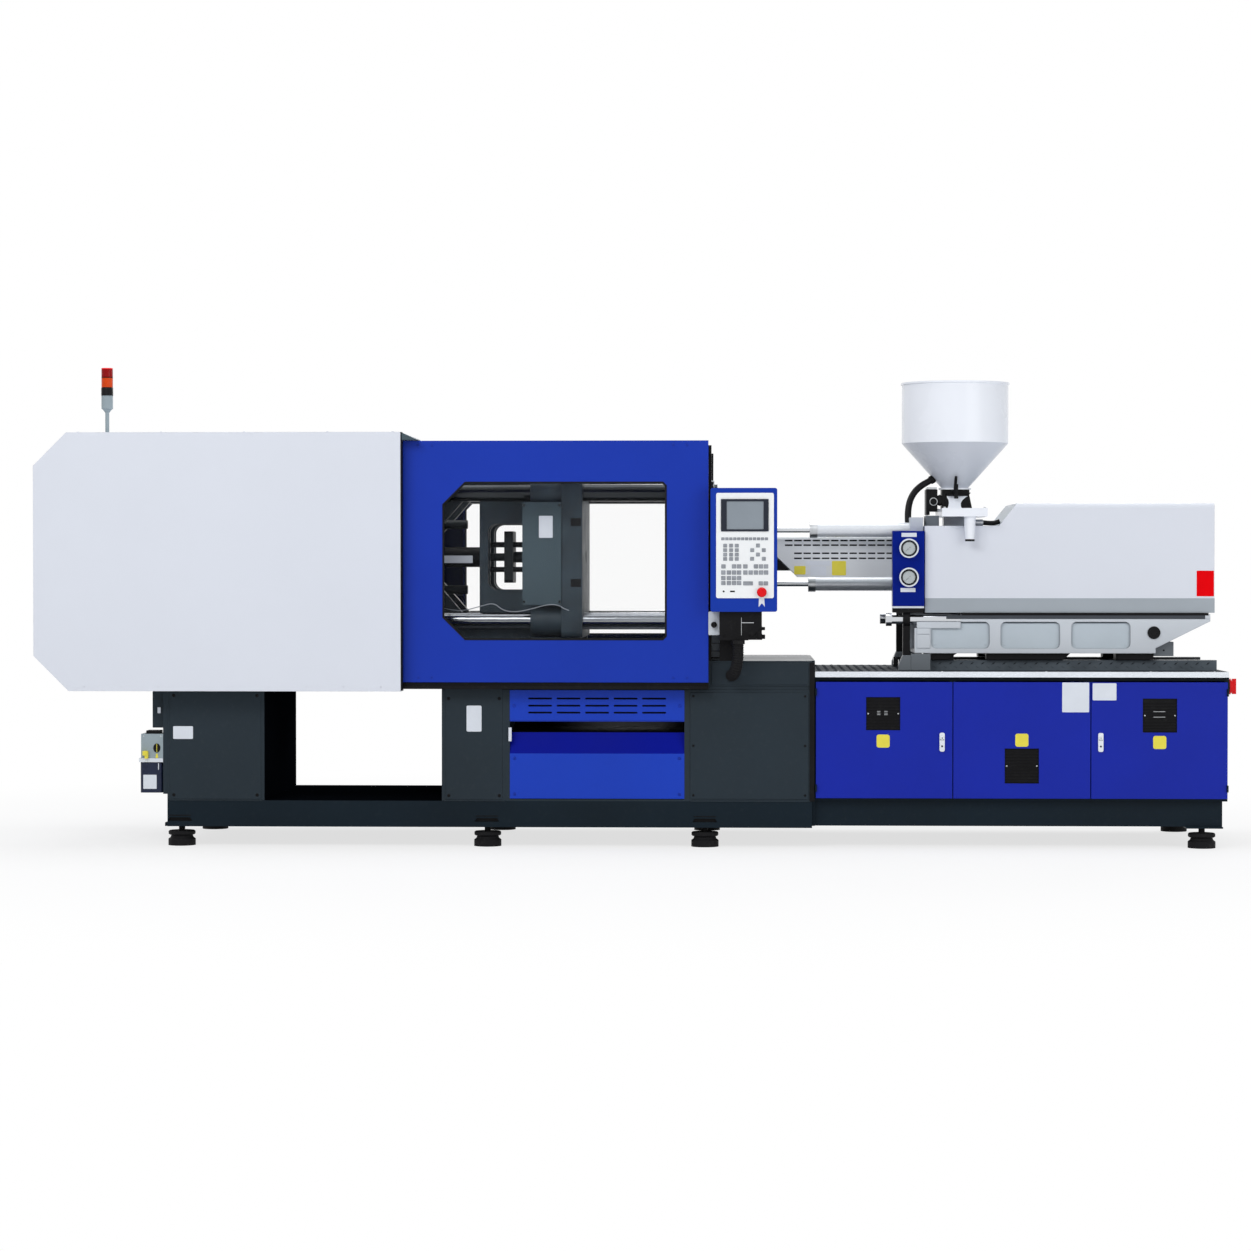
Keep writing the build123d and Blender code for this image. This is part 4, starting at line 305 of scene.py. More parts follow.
class Piece:
    """A visible piece made of several forms, each with its own material; it rides on one body."""

    def __init__(self, name, body, slot):
        self.name = name
        self.body = body
        self.slot = slot
        self.mesh = bmesh.new()
        self.materials = []

    def take(self, part, material, smooth):
        """Take in a form made by itself."""
        if material not in self.materials:
            self.materials.append(material)
        for face in part.faces:
            face.material_index = self.materials.index(material)
            face.smooth = smooth
        scratch = bpy.data.meshes.new("scratch")
        part.to_mesh(scratch)
        part.free()
        self.mesh.from_mesh(scratch)
        bpy.data.meshes.remove(scratch)

    def merge(self, part, material, smooth=False, matrix=None):
        if matrix is not None:
            bmesh.ops.transform(part, matrix=matrix, verts=part.verts)
        bmesh.ops.recalc_face_normals(part, faces=part.faces)
        self.take(part, material, smooth)

    def box(self, low, high, material, bevel=0.0015, matrix=None):
        part = bmesh.new()
        bmesh.ops.create_cube(part, size=1.0)
        for vert in part.verts:
            vert.co = Vector([low[i] + (vert.co[i] + 0.5) * (high[i] - low[i]) for i in range(3)])
        soften(part, part.edges[:], min(bevel, *[abs(high[i] - low[i]) * 0.4 for i in range(3)]))
        self.merge(part, material, matrix=matrix)

    def pair(self, x0, x1, near, far, z0, z1, material, bevel=0.0015):
        """The same box at the front and at the rear, near and far being distances off the middle plane."""
        for side in SIDES:
            y0, y1 = across(side, near, far)
            self.box((x0, y0, z0), (x1, y1, z1), material, bevel)

    def prism(self, outline, near, far, material, bevel=0.0015, along_x=False, matrix=None):
        """A flat outline, (X, Z) pushed along Y from near to far, or (Y, Z) pushed along X."""
        part = bmesh.new()
        ends = [[part.verts.new((depth, a, b) if along_x else (a, depth, b)) for a, b in outline]
            for depth in (near, far)]
        part.faces.new(ends[0])
        part.faces.new(ends[1][::-1])
        skin(part, ends)
        bmesh.ops.recalc_face_normals(part, faces=part.faces)
        rim = [e for e in part.edges if e.calc_length() > 1e-6
            and (e.verts[0] in ends[0]) == (e.verts[1] in ends[0])]
        soften(part, rim, bevel)
        self.merge(part, material, matrix=matrix)

    def prisms(self, outline, near, far, material, bevel=0.0015):
        for side in SIDES:
            self.prism(outline, *across(side, near, far), material, bevel)

    def turned(self, profile, centre, axis, material, steps=32, smooth=True):
        """A lathe form: profile is (distance along the axis, radius), from the centre."""
        part = bmesh.new()
        along = Vector(axis).normalized()
        side = along.orthogonal().normalized()
        skin(part, [circle(part, Vector(centre) + along * distance, side, along.cross(side), radius, steps)
            for distance, radius in profile])
        bmesh.ops.recalc_face_normals(part, faces=part.faces)
        flat = [e for e in part.edges if len(e.link_faces) == 2 and e.calc_face_angle(0.0) > radians(32)]
        if flat and smooth:
            bmesh.ops.split_edges(part, edges=flat)
        self.take(part, material, smooth)

    def solid(self, profile, *place, **more):
        """A lathe form with both ends closed flat."""
        self.turned([(profile[0][0], 0), *profile, (profile[-1][0], 0)], *place, **more)

    def ring(self, centre, axis, inner, outer, depth, material, steps=40):
        """A flat ring whose back lies on the centre and whose front stands depth along the axis."""
        c = min(depth, outer - inner) * 0.25
        self.turned([(0, inner), (0, outer), (depth - c, outer), (depth, outer - c), (depth, inner + c),
            (depth - c, inner), (0, inner)], centre, axis, material, steps)

    def bolts(self, xs, ys, zs, axis, radius, material, height=None, washer=True, socket=True):
        """Cap screws on a face, wherever the given X, Y and Z meet, with washers and hexagon sockets."""
        height = radius if height is None else height
        start = radius * 0.18 if washer else 0.0
        top = start + height
        deep = top - height * 0.55
        for spot in product(*[v if isinstance(v, tuple) else (v,) for v in (xs, ys, zs)]):
            if washer:
                self.solid([(0, radius * 1.45), (start, radius * 1.4)], spot, axis, material, 20)
            if socket:
                self.turned([(start, radius), (start + height * 0.86, radius), (top, radius * 0.86),
                    (top, radius * 0.5), (deep, radius * 0.46), (deep, 0)], spot, axis, material, 18)
            else:
                self.turned([(start, radius), (start + height * 0.8, radius), (top, radius * 0.8), (top, 0)],
                    spot, axis, material, 6, smooth=False)

    def screws(self, *place, **more):
        """Cap screws without washers."""
        self.bolts(*place, washer=False, **more)

    def tube(self, points, radius, material, steps=12, spans=8):
        """A hose or bent wire along a smooth line through the points."""
        line = smooth_line(points, spans)
        part = bmesh.new()
        rings = []
        for before, point, after in zip([line[0]] + line, line, line[1:] + [line[-1]]):
            along = (after - before).normalized()
            side = side - along * side.dot(along) if rings else along.orthogonal()
            side = side.normalized()
            rings.append(circle(part, point, side, along.cross(side), radius, steps))
        skin(part, rings)
        part.faces.new(rings[0][::-1])
        part.faces.new(rings[-1])
        self.merge(part, material, True)

    def done(self, replaces=()):
        data = bpy.data.meshes.new(self.name)
        self.mesh.to_mesh(data)
        self.mesh.free()
        for material in self.materials:
            data.materials.append(material)
        piece = placed(self.name, data)
        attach(piece, self.body)
        if replaces:
            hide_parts(*replaces)


# Finishes of the carried-over parts that aren't replaced
FINISHES = (
    (WHITE, "clamp_cover_front clamp_cover_rear"), (BLUE, "front_gate"), (DARK_STEEL, "crosshead"),
    (PANE, "front_gate_window rear_gate_window"), (PUMP, "tower_light_stand"), (CHROME, "carriage_rods"),
    (CASTING, "tail_platen clamp_cylinder ejector_plate drive_plate upper_rear_link lower_rear_link"),
    (CASTING, "upper_front_link lower_front_link upper_crank_link lower_crank_link"),
    (PLATEN, "fixed_platen moving_platen"), (SIDE_GREY, "platen_side_cover"), (RUBBER, "levelling_feet"),
    (STEEL, "clamp_ways adjusting_nuts barrel screw"), (PLASTIC, "slide_gate key_switch_knob"),
    (BLACK, "gate_rails ejector_cylinder injection_cylinders"), (FACE, "control_panel_face"),
    (PALE_GREY, "key_switch_box"), (GUARD, "barrel_guard"), (TANK, "lubrication_reservoir"),
    (BEAM, "injection_base_frame"), (STRIP, "left_door_latch right_door_latch"), (RED, "main_switch_knob"),
)
for material, names in FINISHES:
    for name in names.split():
        data = nodes[name].data
        data.materials.clear()
        data.materials.append(material)


# Room, light and camera
def combined(tree, operation, first, second):
    node = add_node(tree, "Math", {0: first, 1: second})
    node.operation = operation
    return node.outputs["Value"]


def seen_white(tree):
    """One for the rays that see plain white: from the camera, in reflections and through clear panes."""
    path = add_node(tree, "LightPath").outputs
    seen = combined(tree, "MAXIMUM", path["Is Camera Ray"], path["Is Glossy Ray"])
    return combined(tree, "MAXIMUM", seen, path["Is Transmission Ray"])


def stage_material():
    """A pale floor that looks white to the camera and in reflections, and keeps the machine's shadow."""
    material, tree, shader = new_material("stage_white")
    wire(tree, shader, Base_Color=(0.86, 0.86, 0.87, 1), Roughness=0.9, Specular_IOR_Level=0.0)
    glow = add_node(tree, "Emission", Color=(1, 1, 1, 1), Strength=1.0)
    reach = add_node(tree, "VectorMath", {0: add_node(tree, "TexCoord").outputs["Object"]})
    reach.operation = "LENGTH"
    far = add_node(tree, "MapRange", {"Value": reach.outputs["Value"]}, From_Min=2.2, From_Max=5.2,
        To_Min=0.72, To_Max=1.0)
    far.interpolation_type = "SMOOTHSTEP"
    share = combined(tree, "MULTIPLY", seen_white(tree), far.outputs["Result"])
    mix = add_node(tree, "MixShader", {"Fac": share, 1: shader.outputs["BSDF"], 2: glow.outputs["Emission"]})
    tree.links.new(mix.outputs["Shader"], tree.nodes["Material Output"].inputs["Surface"])
    return material


floor_data = bpy.data.meshes.new("studio_floor")
floor_mesh = bmesh.new()
bmesh.ops.create_grid(floor_mesh, x_segments=1, y_segments=1, size=60.0)
floor_mesh.to_mesh(floor_data)
floor_mesh.free()
floor_data.materials.append(stage_material())
placed("studio_floor", floor_data)

world = bpy.data.worlds.new("studio")
bpy.context.scene.world = world
world.use_nodes = True
sky = world.node_tree
sky.nodes.clear()
lit = add_node(sky, "Background", Color=(0.97, 0.985, 1.0, 1), Strength=0.42)
white = add_node(sky, "Background", Color=(1, 1, 1, 1), Strength=1.0)
mix = add_node(sky, "MixShader", {"Fac": seen_white(sky), 1: lit.outputs["Background"],
    2: white.outputs["Background"]})
add_node(sky, "OutputWorld", {"Surface": mix.outputs["Shader"]})


def add_light(name, place, size, power):
    """A soft panel of light that faces the machine's middle."""
    data = bpy.data.lights.new(name, "AREA")
    data.shape = "RECTANGLE"
    data.size, data.size_y = size
    data.energy = power
    lamp = placed(name, data)
    lamp.location = place
    lamp.rotation_euler = (Vector((0, 0, 1.0)) - Vector(place)).to_track_quat("-Z", "Y").to_euler()


add_light("key", (-3.5, -7.0, 6.0), (6.0, 3.0), 300)
add_light("fill", (5.5, -6.0, 3.0), (4.0, 4.0), 120)
add_light("top", (0, 0.5, 6.5), (7.0, 3.5), 185)
add_light("rear", (2.5, 6.5, 4.5), (6.0, 3.0), 215)

camera_data = bpy.data.cameras.new("camera")
camera_data.lens = 93.5
camera_data.sensor_width = 36
camera = placed("camera", camera_data)
camera.location = (0.4646, -14.95, 1.2324)
camera.rotation_euler = (Vector((-0.0392, -0.65, 0.9882)) - camera.location).to_track_quat("-Z",
    "Y").to_euler()
bpy.context.scene.camera = camera
bpy.context.scene.view_settings.view_transform = "Standard"


# Tower light, in two lens colours
lens = Piece("tower_lens_stack", BASE, "lens")
for low, high, material in ((2.0592, 2.1028, AMBER_LENS), (2.1055, 2.141, RED_LENS)):
    tall = high - low
    lens.solid([(0, 0.0245), (0.002, 0.0258), (tall - 0.002, 0.0258), (tall, 0.0245)], (*TOWER, low), UP,
        material, 40)
lens.solid([(0, 0.0262), (0.0028, 0.0262)], (*TOWER, 2.1028), UP, PLASTIC, 40)
lens.turned([(0, 0), (0, 0.0262), (0.004, 0.0262), (0.0062, 0.0235), (0.0068, 0)], (*TOWER, 2.141), UP, RED,
    40)
lens.done(replaces=("tower_light_lenses",))
stand = Piece("tower_collar", BASE, "black_plastic")
stand.turned([(0, 0.0262), (0, 0.0268), (0.0345, 0.0268), (0.0365, 0.0262)], (*TOWER, 2.0225), UP, PLASTIC,
    40)
for k in range(3):
    angle = radians(30 + 120 * k)
    stand.turned([(0, 0.0268), (0.0012, 0.0274), (0.0024, 0.0268)], (*TOWER, 2.03 + 0.009 * k), UP, PLASTIC,
        40)
    stand.bolts(TOWER[0] + 0.018 * cos(angle), TOWER[1] + 0.018 * sin(angle), 1.85, UP, 0.0024, ZINC)
stand.done()

# Clamp covers: seams, hems and screws
trim = Piece("cover_trim", BASE, "white_paint")
for side in SIDES:
    # the screws along the bottom flange and the top
    trim.screws(evenly(-2.44, 0.165, 9), side * 0.6492, 0.716, (0, side, 0), 0.0048, WHITE, 0.0008,
        socket=False)
    trim.bolts((-2.47, -2.1, -1.73, -1.36, -1.07), side * 0.62, 1.842, UP, 0.005, WHITE, 0.003)
trim.screws(-2.6645, (-0.62, -0.32, 0.32, 0.62), (0.9, 1.28, 1.66), (-1, 0, 0), 0.005, WHITE, 0.0015)
# the joint strip over the seam between the two halves
trim.box((-2.5175, -0.014, 1.8419), (-1.036, 0.014, 1.8445), WHITE, 0.001)
trim.box((-2.6628, -0.02, 0.858), (-2.6606, 0.02, 1.69), WHITE, 0.0004)
trim.bolts(evenly(-2.45, 0.19, 8), 0.0, 1.8445, UP, 0.0045, WHITE, 0.0028)
trim.done()

# The folded corners between the cover and the gates' tops
corner = Piece("cover_corner_panel", BASE, "grey_paint")
corner.prisms([(-1.0328, 1.8415), (-0.957, 1.8065), (-1.0328, 1.8065)], 0.592, 0.6495, SIDE_GREY, 0.001)
# a black strip on the cover's edge face: painted shadow
corner.pair(-1.0328, -1.027, 0.592, 0.6495, 0.7, 1.8415, BLACK, 0.0008)
corner.done()

# Gates: window seal, rollers and sliders
WINDOW = [(-0.849, 1.023), (-0.849, 1.522), (-0.752, 1.619), (0.123, 1.619), (0.137, 1.605), (0.137, 0.94),
    (0.123, 0.926), (-0.752, 0.926)]
for side, body, tag in ((-1, "front_gate", "front"), (1, "rear_gate", "rear")):
    gate = Piece(f"{tag}_gate_fittings", body, "rubber")
    # the rubber channel round the window's edge
    for (xa, za), (xb, zb) in zip(WINDOW, WINDOW[1:] + WINDOW[:1]):
        half = hypot(xb - xa, zb - za) / 2 + 0.002
        turn = leaning(((xa + xb) / 2, side * 0.5885, (za + zb) / 2), atan2(zb - za, xb - xa))
        gate.box((-half, -0.003, -0.0045), (half, 0.003, 0.0045), RUBBER, 0.0015, turn)
    # rollers on the lower runner and sliders behind the upper edge
    for x in (-0.93, 0.2):
        gate.box((x - 0.05, side * 0.5615 - 0.001, 0.737), (x + 0.05, side * 0.5615 + 0.001, 0.79), ZINC,
            0.0005)
        gate.screws((x - 0.03, x + 0.03), side * 0.59, (0.756, 1.785), (0, side, 0), 0.005, BLUE, 0.0025)
    gate.done()

# Clamp base: cover plates that stand a little proud, a dark joint, seams and screws
base = Piece("base_fittings", BASE, "dark_paint")
for corners, proud, bevel in (((0.244, 0.768, 0.215, 0.688), 0.0035, 0.0012), ((0.338, 0.768, 0.724, 0.82),
        0.003, 0.001), ((-0.846, -0.592, 0.21, 0.812), 0.002, 0.001), ((-2.082, -1.672, 0.21, 0.69), 0.002,
        0.001)):
    base.prism(rounded(*corners, 0.004), BASE_Y - proud, BASE_Y + 0.001, DARK, bevel)
base.box((0.774, -0.524, 0.205), (0.796, -0.51, 0.822), BLACK, 0.002)
base.screws((0.258, 0.754), BASE_Y - 0.0035, (0.232, 0.452, 0.672), FRONT, 0.005, BLACK, 0.003)
base.bolts((-0.832, -0.606), BASE_Y - 0.002, (0.228, 0.66), FRONT, 0.005, BLACK, 0.004)
base.bolts((-2.064, -1.69), BASE_Y - 0.002, (0.228, 0.672), FRONT, 0.005, BLACK, 0.004)
# the light plates, left bare
for corners, radius in (((-2.066, -1.977, 0.478, 0.535), 0.004), ((-0.752, -0.685, 0.513, 0.629), 0.006)):
    base.prism(rounded(*corners, radius), BASE_Y - 0.0034, BASE_Y - 0.0018, LABEL, 0.0004)
# weld seams where the beam meets the pedestals
for (x0, x1), side in product(((-2.085, -1.665), (-0.856, -0.582), (0.242, 0.778)), SIDES):
    seam = [(x0, side * 0.5205, 0.2045), ((x0 + x1) / 2, side * 0.5208, 0.2048), (x1, side * 0.5205, 0.2045)]
    base.tube(seam, 0.003, DARK, 8, 24)
# the pocket over each foot, edged
for x in FEET_X[:3]:
    base.pair(x - 0.05, x + 0.05, 0.5196, 0.5216, 0.1345, 0.1385, BLACK, 0.0006)
    base.pair(x - 0.056, x + 0.056, 0.5, 0.506, 0.0945, 0.134, BLACK, 0)
base.done()

# Chute: the slotted panel's folded edge, its two quarter-turn fasteners and its pull
chute = Piece("chute_fittings", BASE, "blue_paint")
chute.box((-0.558, -0.5222, 0.5585), (0.2175, -0.5195, 0.564), BLUE, 0.0008)
for x in (-0.54, 0.198):
    chute.solid([(0, 0.0075), (0.002, 0.0075), (0.003, 0.006)], (x, -0.52, 0.628), FRONT, BLUE, 20)
chute.box((-0.5645, -0.532, 0.47), (-0.5505, -0.5195, 0.532), WHITE, 0.0025)
chute.bolts((-0.538, 0.196), -0.52, (0.235, 0.395), FRONT, 0.005, BLUE, 0.003)
# a black sheet at the back of the bay, behind the chute's mouth: painted shade
chute.box((-0.552, -0.318, 0.556), (0.211, -0.315, 0.8), BLACK, 0.0005)
chute.done()


# Parts that have more than one colour
bpy.context.view_layer.update()


def repaint(name, source, body, rules, rest, cuts=()):
    """The source part with each face painted by its place: the first rule that fits wins, else the rest."""
    data = nodes[source].data.copy()
    data.transform(nodes[source].matrix_world)
    data.materials.clear()
    if cuts:
        mesh = bmesh.new()
        mesh.from_mesh(data)
        for place, normal in cuts:
            bmesh.ops.bisect_plane(mesh, geom=mesh.verts[:] + mesh.edges[:] + mesh.faces[:], plane_co=place,
                plane_no=normal)
        mesh.to_mesh(data)
        mesh.free()
    for material in [colour for _, colour in rules] + [rest]:
        data.materials.append(material)
    for face in data.polygons:
        fits = [i for i, (test, _) in enumerate(rules) if test(*face.center)]
        face.material_index = fits[0] if fits else len(rules)
    piece = placed(name, data)
    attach(piece, body)
    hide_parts(source)


def where(x0=-9, x1=9, y0=-9, y1=9, z0=-9, z1=9, off0=-9, off1=9):
    """A test for a place between limits, off being its distance from the middle plane."""
    return lambda x, y, z: x0 < x < x1 and y0 < y < y1 and z0 < z < z1 and off0 < abs(y) < off1


def vent(x0, x1, z0, z1):
    """A test for the faces of a door's vent."""
    return where(x0 - 0.0004, x1 + 0.0004, -0.519, -0.5046, z0 - 0.0004, z1 + 0.0004)


def in_gauge(radius, y0):
    """A test for what lies round a gauge's middle, before the board."""
    return lambda x, y, z: y0 < y < -0.3455 and min(hypot(x - GAUGE_X, z - m) for m in GAUGES) < radius


repaint("panel_case", "control_panel_housing", BASE, [(where(z1=1.0485), BLACK),
    (where(y0=-0.5905), BLACK)], PANEL_BLUE)
repaint("panel_display", "control_panel_screen", BASE, [(where(0.4056, 0.5684, -0.6817, -0.6796,
    1.4106, 1.5344), SCREEN)], BEZEL)
repaint("pump_unit", "lubrication_pump", BASE, [(where(x0=-2.1122), DARK),
    (where(z0=0.5002), PLASTIC), (lambda x, y, z: hypot(x + 2.185, y + 0.532) < 0.0105 and z > 0.3905,
    YELLOW), (where(z1=0.3912), LABEL)], PUMP)
repaint("bed_and_rails", "bed_plate", BASE, [(where(y1=-0.5195, z1=0.7822), STRIP),
    (where(z1=0.7822), TREAD), (where(z1=0.8275, off0=0.2895, off1=0.2905), RAIL_GREY),
    (where(z1=0.8285, off0=0.2285, off1=0.2905), DARK_STEEL), (where(x1=1.1275, z0=0.9), ZINC),
    (lambda x, y, z: z < 0.989 or 1.1955 < x < 1.2285 and hypot(abs(y) - 0.309, z - 1.01) > 0.0205, BLACK)],
    CHROME)
repaint("carriage_casting", "carriage_base", "carriage", [(where(z1=0.8587), BLACK),
    (where(y1=-0.3302), PLASTIC), (where(z1=1.001, off0=0.3175, off1=0.3185), POCKET_GREY),
    (where(1.322, z1=1.001, off0=0.3185, off1=0.3295), SHADOW_GREY), (where(1.256, z0=1.0352, off1=0.1125),
    CASTING)], PALE_GREY)
# the cowl's left-facing slope takes a darker grey: painted shade
repaint("cowl_shell", "injection_cowl", "carriage", [(where(1.632, 1.7, z0=1.44, off1=0.316),
    SHADE_GREY)], WHITE)
# the throat's body above the base plate is black: painted shade
repaint("throat_and_spout", "hopper_throat", "carriage", [(where(z1=1.3635), BLACK),
    (where(x1=1.3659), BLACK), (where(x1=1.3868, z0=1.5295), ZINC), (where(z0=1.5095), BLACK)], HOPPER)
# the board's faces close round each dial are black: painted shadow of the gap
repaint("gauge_board", "gauge_panel", "carriage", [(in_gauge(0.0372, -0.3663), DIAL),
    (in_gauge(0.0373, -9), BLACK), (where(y1=-0.3455), LABEL)], GAUGE_BLUE)
repaint("stop_button", "emergency_stop_button", "emergency_stop", [(where(y0=-0.6885), ZINC)],
    RED)
repaint("left_door_leaf", "left_cabinet_door", "left_door", [(vent(1.024, 1.175, 0.522, 0.669),
    BLACK)], DOOR_BLUE)
repaint("middle_panel_leaf", "cabinet_middle_panel", BASE, [(vent(1.637, 1.788, 0.287, 0.442),
    BLACK)], DOOR_BLUE)
repaint("right_door_leaf", "right_cabinet_door", "right_door",
    [(vent(2.245, 2.396, 0.514, 0.664), BLACK)], DOOR_BLUE)
repaint("cylinders_and_heads", "carriage_cylinders", "carriage", [(where(x1=0.8153), ZINC)],
    ALUMINIUM)
# the inner walls between the pedestals take the near black: painted shade
repaint("base_frame", "clamp_base_frame", BASE, [(where(-1.6576, -0.8624, -0.5204, 0.5204,
    0.2031, 0.7189), SHADE_DARK), (where(z1=0.2045), BEAM)], DARK, [((0, 0, 0.2045), UP)])
# the rear gate's inner face takes the darker blue: painted shade
repaint("rear_gate_leaf", "rear_gate", "rear_gate", [(where(y1=0.5885), GATE_INNER_SHADE)], BLUE)
# the chute's slanted strip takes painted shade, the faces inside its mouth black as painted shade, and the
# rest a lighter blue as painted light
repaint("chute_sheets", "chute_panels", BASE, [(where(y1=-0.48, z0=0.4158, z1=0.512),
    CHUTE_SHADE), (where(y0=-0.479), BLACK)], CHUTE_LIT_BLUE)
# the cone takes the darker white: painted shade
repaint("hopper_body", "hopper", "carriage", [(where(z0=1.6085, z1=1.811), CONE_SHADED_WHITE)],
    HOPPER)
# the front lower tie bar takes a brighter steel than the others: painted highlight
repaint("bars_and_nuts", "tie_bars", BASE, [(where(x0=0.3088), STEEL),
    (where(x0=-1.02, y1=0, z1=1.29), HIGHLIT_BAR)], DARK_STEEL)


# Control panel: key switch's tag, lamp, bracket, screws and the slots of its back
def plate(piece, x0, x1, z0, z1, front, back, material, radius=0.004):
    """A thin blank plate that faces the operator."""
    piece.prism(rounded(x0, x1, z0, z1, radius, 3), front, back, material, min(0.0004, (back - front) * 0.3))


panel = Piece("panel_fittings", BASE, "black_plastic")
panel.prism([(0.548, 1.11), (0.571, 1.11), (0.5735, 1.071), (0.561, 1.087), (0.5465, 1.07)], -0.6762,
    -0.6748, LABEL, 0.0002)
panel.solid([(0, 0.0042), (0.0006, 0.0042), (0.0006, 0.0026), (0.0002, 0.0024)], (0.393, -0.679, 1.1386),
    FRONT, PLASTIC, 20)
plate(panel, 0.421, 0.442, 1.1352, 1.142, -0.6797, -0.6788, PLASTIC, 0.001)
for z, radius in ((0.974, 0.007), (0.938, 0.0095)):
    panel.bolts(0.561, (-0.606, -0.57), z, RIGHT, radius, BLACK, 0.013)
panel.prism([(0.499, 0.99), (0.5612, 0.99), (0.5612, 0.925), (0.504, 0.925)], -0.64, -0.545, BLACK, 0.002)
panel.bolts((0.397, 0.51, 0.54), -0.646, 0.944, FRONT, 0.0055, BLACK, 0.004)
panel.box((0.47, -0.6475, 0.999), (0.526, -0.6455, 1.0022), ZINC, 0.0004)
panel.box((0.47, -0.6475, 0.945), (0.4718, -0.6455, 1.0235), ZINC, 0.0004)
panel.bolts((0.352, 0.611), -0.591, (1.068, 1.574), REAR, 0.0045, ZINC, 0.0035)
for z in evenly(1.33, 0.014, 9):
    panel.box((0.42, -0.5912, z), (0.545, -0.5898, z + 0.005), BLACK, 0.0004)
panel.solid([(0, 0.0065), (0.009, 0.0065), (0.01, 0.004), (0.018, 0.004), (0.018, 0.006), (0.027, 0.006),
    (0.029, 0.003)], (0.343, -0.633, 1.593), UP, BLACK, 16)
panel.ring((0.56, -0.679, 1.135), FRONT, 0.0125, 0.0165, 0.0022, ZINC)
panel.done()
step = Piece("deck_step_cover", BASE, "dark_paint")
step.box((0.311, -0.455, 0.8295), (0.432, -0.368, 1.008), MID_GREY, 0.004)
for z, deep in ((0.942, 0.006), (0.905, 0.0025), (0.87, 0.0025), (0.838, 0.006)):
    step.box((0.3105, -0.456, z), (0.4325, -0.454, z + deep), BLACK, 0.0005)
step.done()

# Keys: the middles' X and Z, with width and height
KEYS = ((evenly(0.3898, 0.0173, 12), (1.3695,), 0.015, 0.0125), ((0.3995, 0.4255, 0.4505),
    (1.3394, 1.3197, 1.3, 1.2813), 0.0175, 0.0165), ((0.5434,), (1.34, 1.3005), 0.0175, 0.017),
    ((0.518, 0.5688), (1.3197,), 0.0175, 0.017), ((0.5176, 0.569), (1.2818,), 0.0175, 0.017),
    ((0.392, 0.4385, 0.4605, 0.4882, 0.5345, 0.557, 0.5788), (1.2484,), 0.0195, 0.0185),
    ((0.3915, 0.416, 0.4385, 0.4605, 0.4882, 0.5115, 0.5345, 0.557, 0.5788), (1.2215,), 0.0195, 0.019),
    ((0.3915, 0.416, 0.4385, 0.4605), (1.1973, 1.1755), 0.0195, 0.0185), ((0.4998,), (1.174,), 0.043, 0.018),
    ((0.556, 0.578), (1.174,), 0.02, 0.018),)
keys = Piece("panel_keys", BASE, "grey_plastic")
for xs, zs, wide, high in KEYS:
    for x, z in product(xs, zs):
        outline = rounded(x - wide / 2, x + wide / 2, z - high / 2, z + high / 2, 0.0022, 3)
        keys.prism(outline, -0.6805, -0.6789, KEY, 0.0004)
keys.done(replaces=("control_panel_keys",))
conduit = Piece("conduit_hose", BASE, "rubber")
CONDUIT = [(0.455, -0.64, 0.924), (0.4555, -0.64, 0.885), (0.455, -0.638, 0.845), (0.449, -0.627, 0.806),
    (0.439, -0.602, 0.776), (0.43, -0.565, 0.766), (0.427, -0.518, 0.765)]
conduit.tube(CONDUIT, 0.024, RUBBER, 32, 10)
line = smooth_line(CONDUIT)
for k in range(3, len(line) - 2, 2):
    conduit.turned([(-0.004, 0.0235), (-0.0015, 0.0262), (0.0015, 0.0262), (0.004, 0.0235)], line[k],
        line[k + 1] - line[k - 1], RUBBER)
conduit.turned([(0, 0.0238), (0, 0.031), (0.016, 0.031), (0.018, 0.029), (0.018, 0.0238)],
    (0.455, -0.64, 0.906), UP, PLASTIC, 8, smooth=False)
conduit.done(replaces=("panel_conduit",))


# Gauges
def gauge(piece, glass, middle, reading):
    """A pressure gauge's bezel, scale, pointer and glass."""
    front = -0.366
    piece.ring((GAUGE_X, -0.3708, middle), FRONT, 0.0366, 0.0434, 0.002, LABEL, 48)
    # a black ring between bezel and dial: painted shadow of the gap
    piece.ring((GAUGE_X, front + 0.0002, middle), FRONT, 0.028, 0.037, 0.0014, BLACK, 48)
    for k in range(31):
        angle = radians(225 - 9 * k)
        half = 0.0013 if k % 5 else 0.0023
        reach = 0.0276 - half
        spot = (GAUGE_X + cos(angle) * reach, front - 0.0003, middle + sin(angle) * reach)
        piece.box((-half, -0.0002, -0.0003), (half, 0.0002, 0.0003), BLACK, 0, leaning(spot, angle))
    piece.prism([(-0.008, -0.001), (0.021, -0.0004), (0.021, 0.0004), (-0.008, 0.001)], -0.0003, 0.0003,
        BLACK, 0, matrix=leaning((GAUGE_X, front - 0.0012, middle), radians(reading)))
    piece.turned([(0, 0), (0, 0.0034), (0.0022, 0.003), (0.0024, 0)], (GAUGE_X, front, middle), FRONT, ZINC,
        20)
    glass.turned([(0, 0), (0, 0.0361), (0.0008, 0.0361), (0.001, 0)], (GAUGE_X, -0.3702, middle), FRONT,
        GAUGE_GLASS, 40)


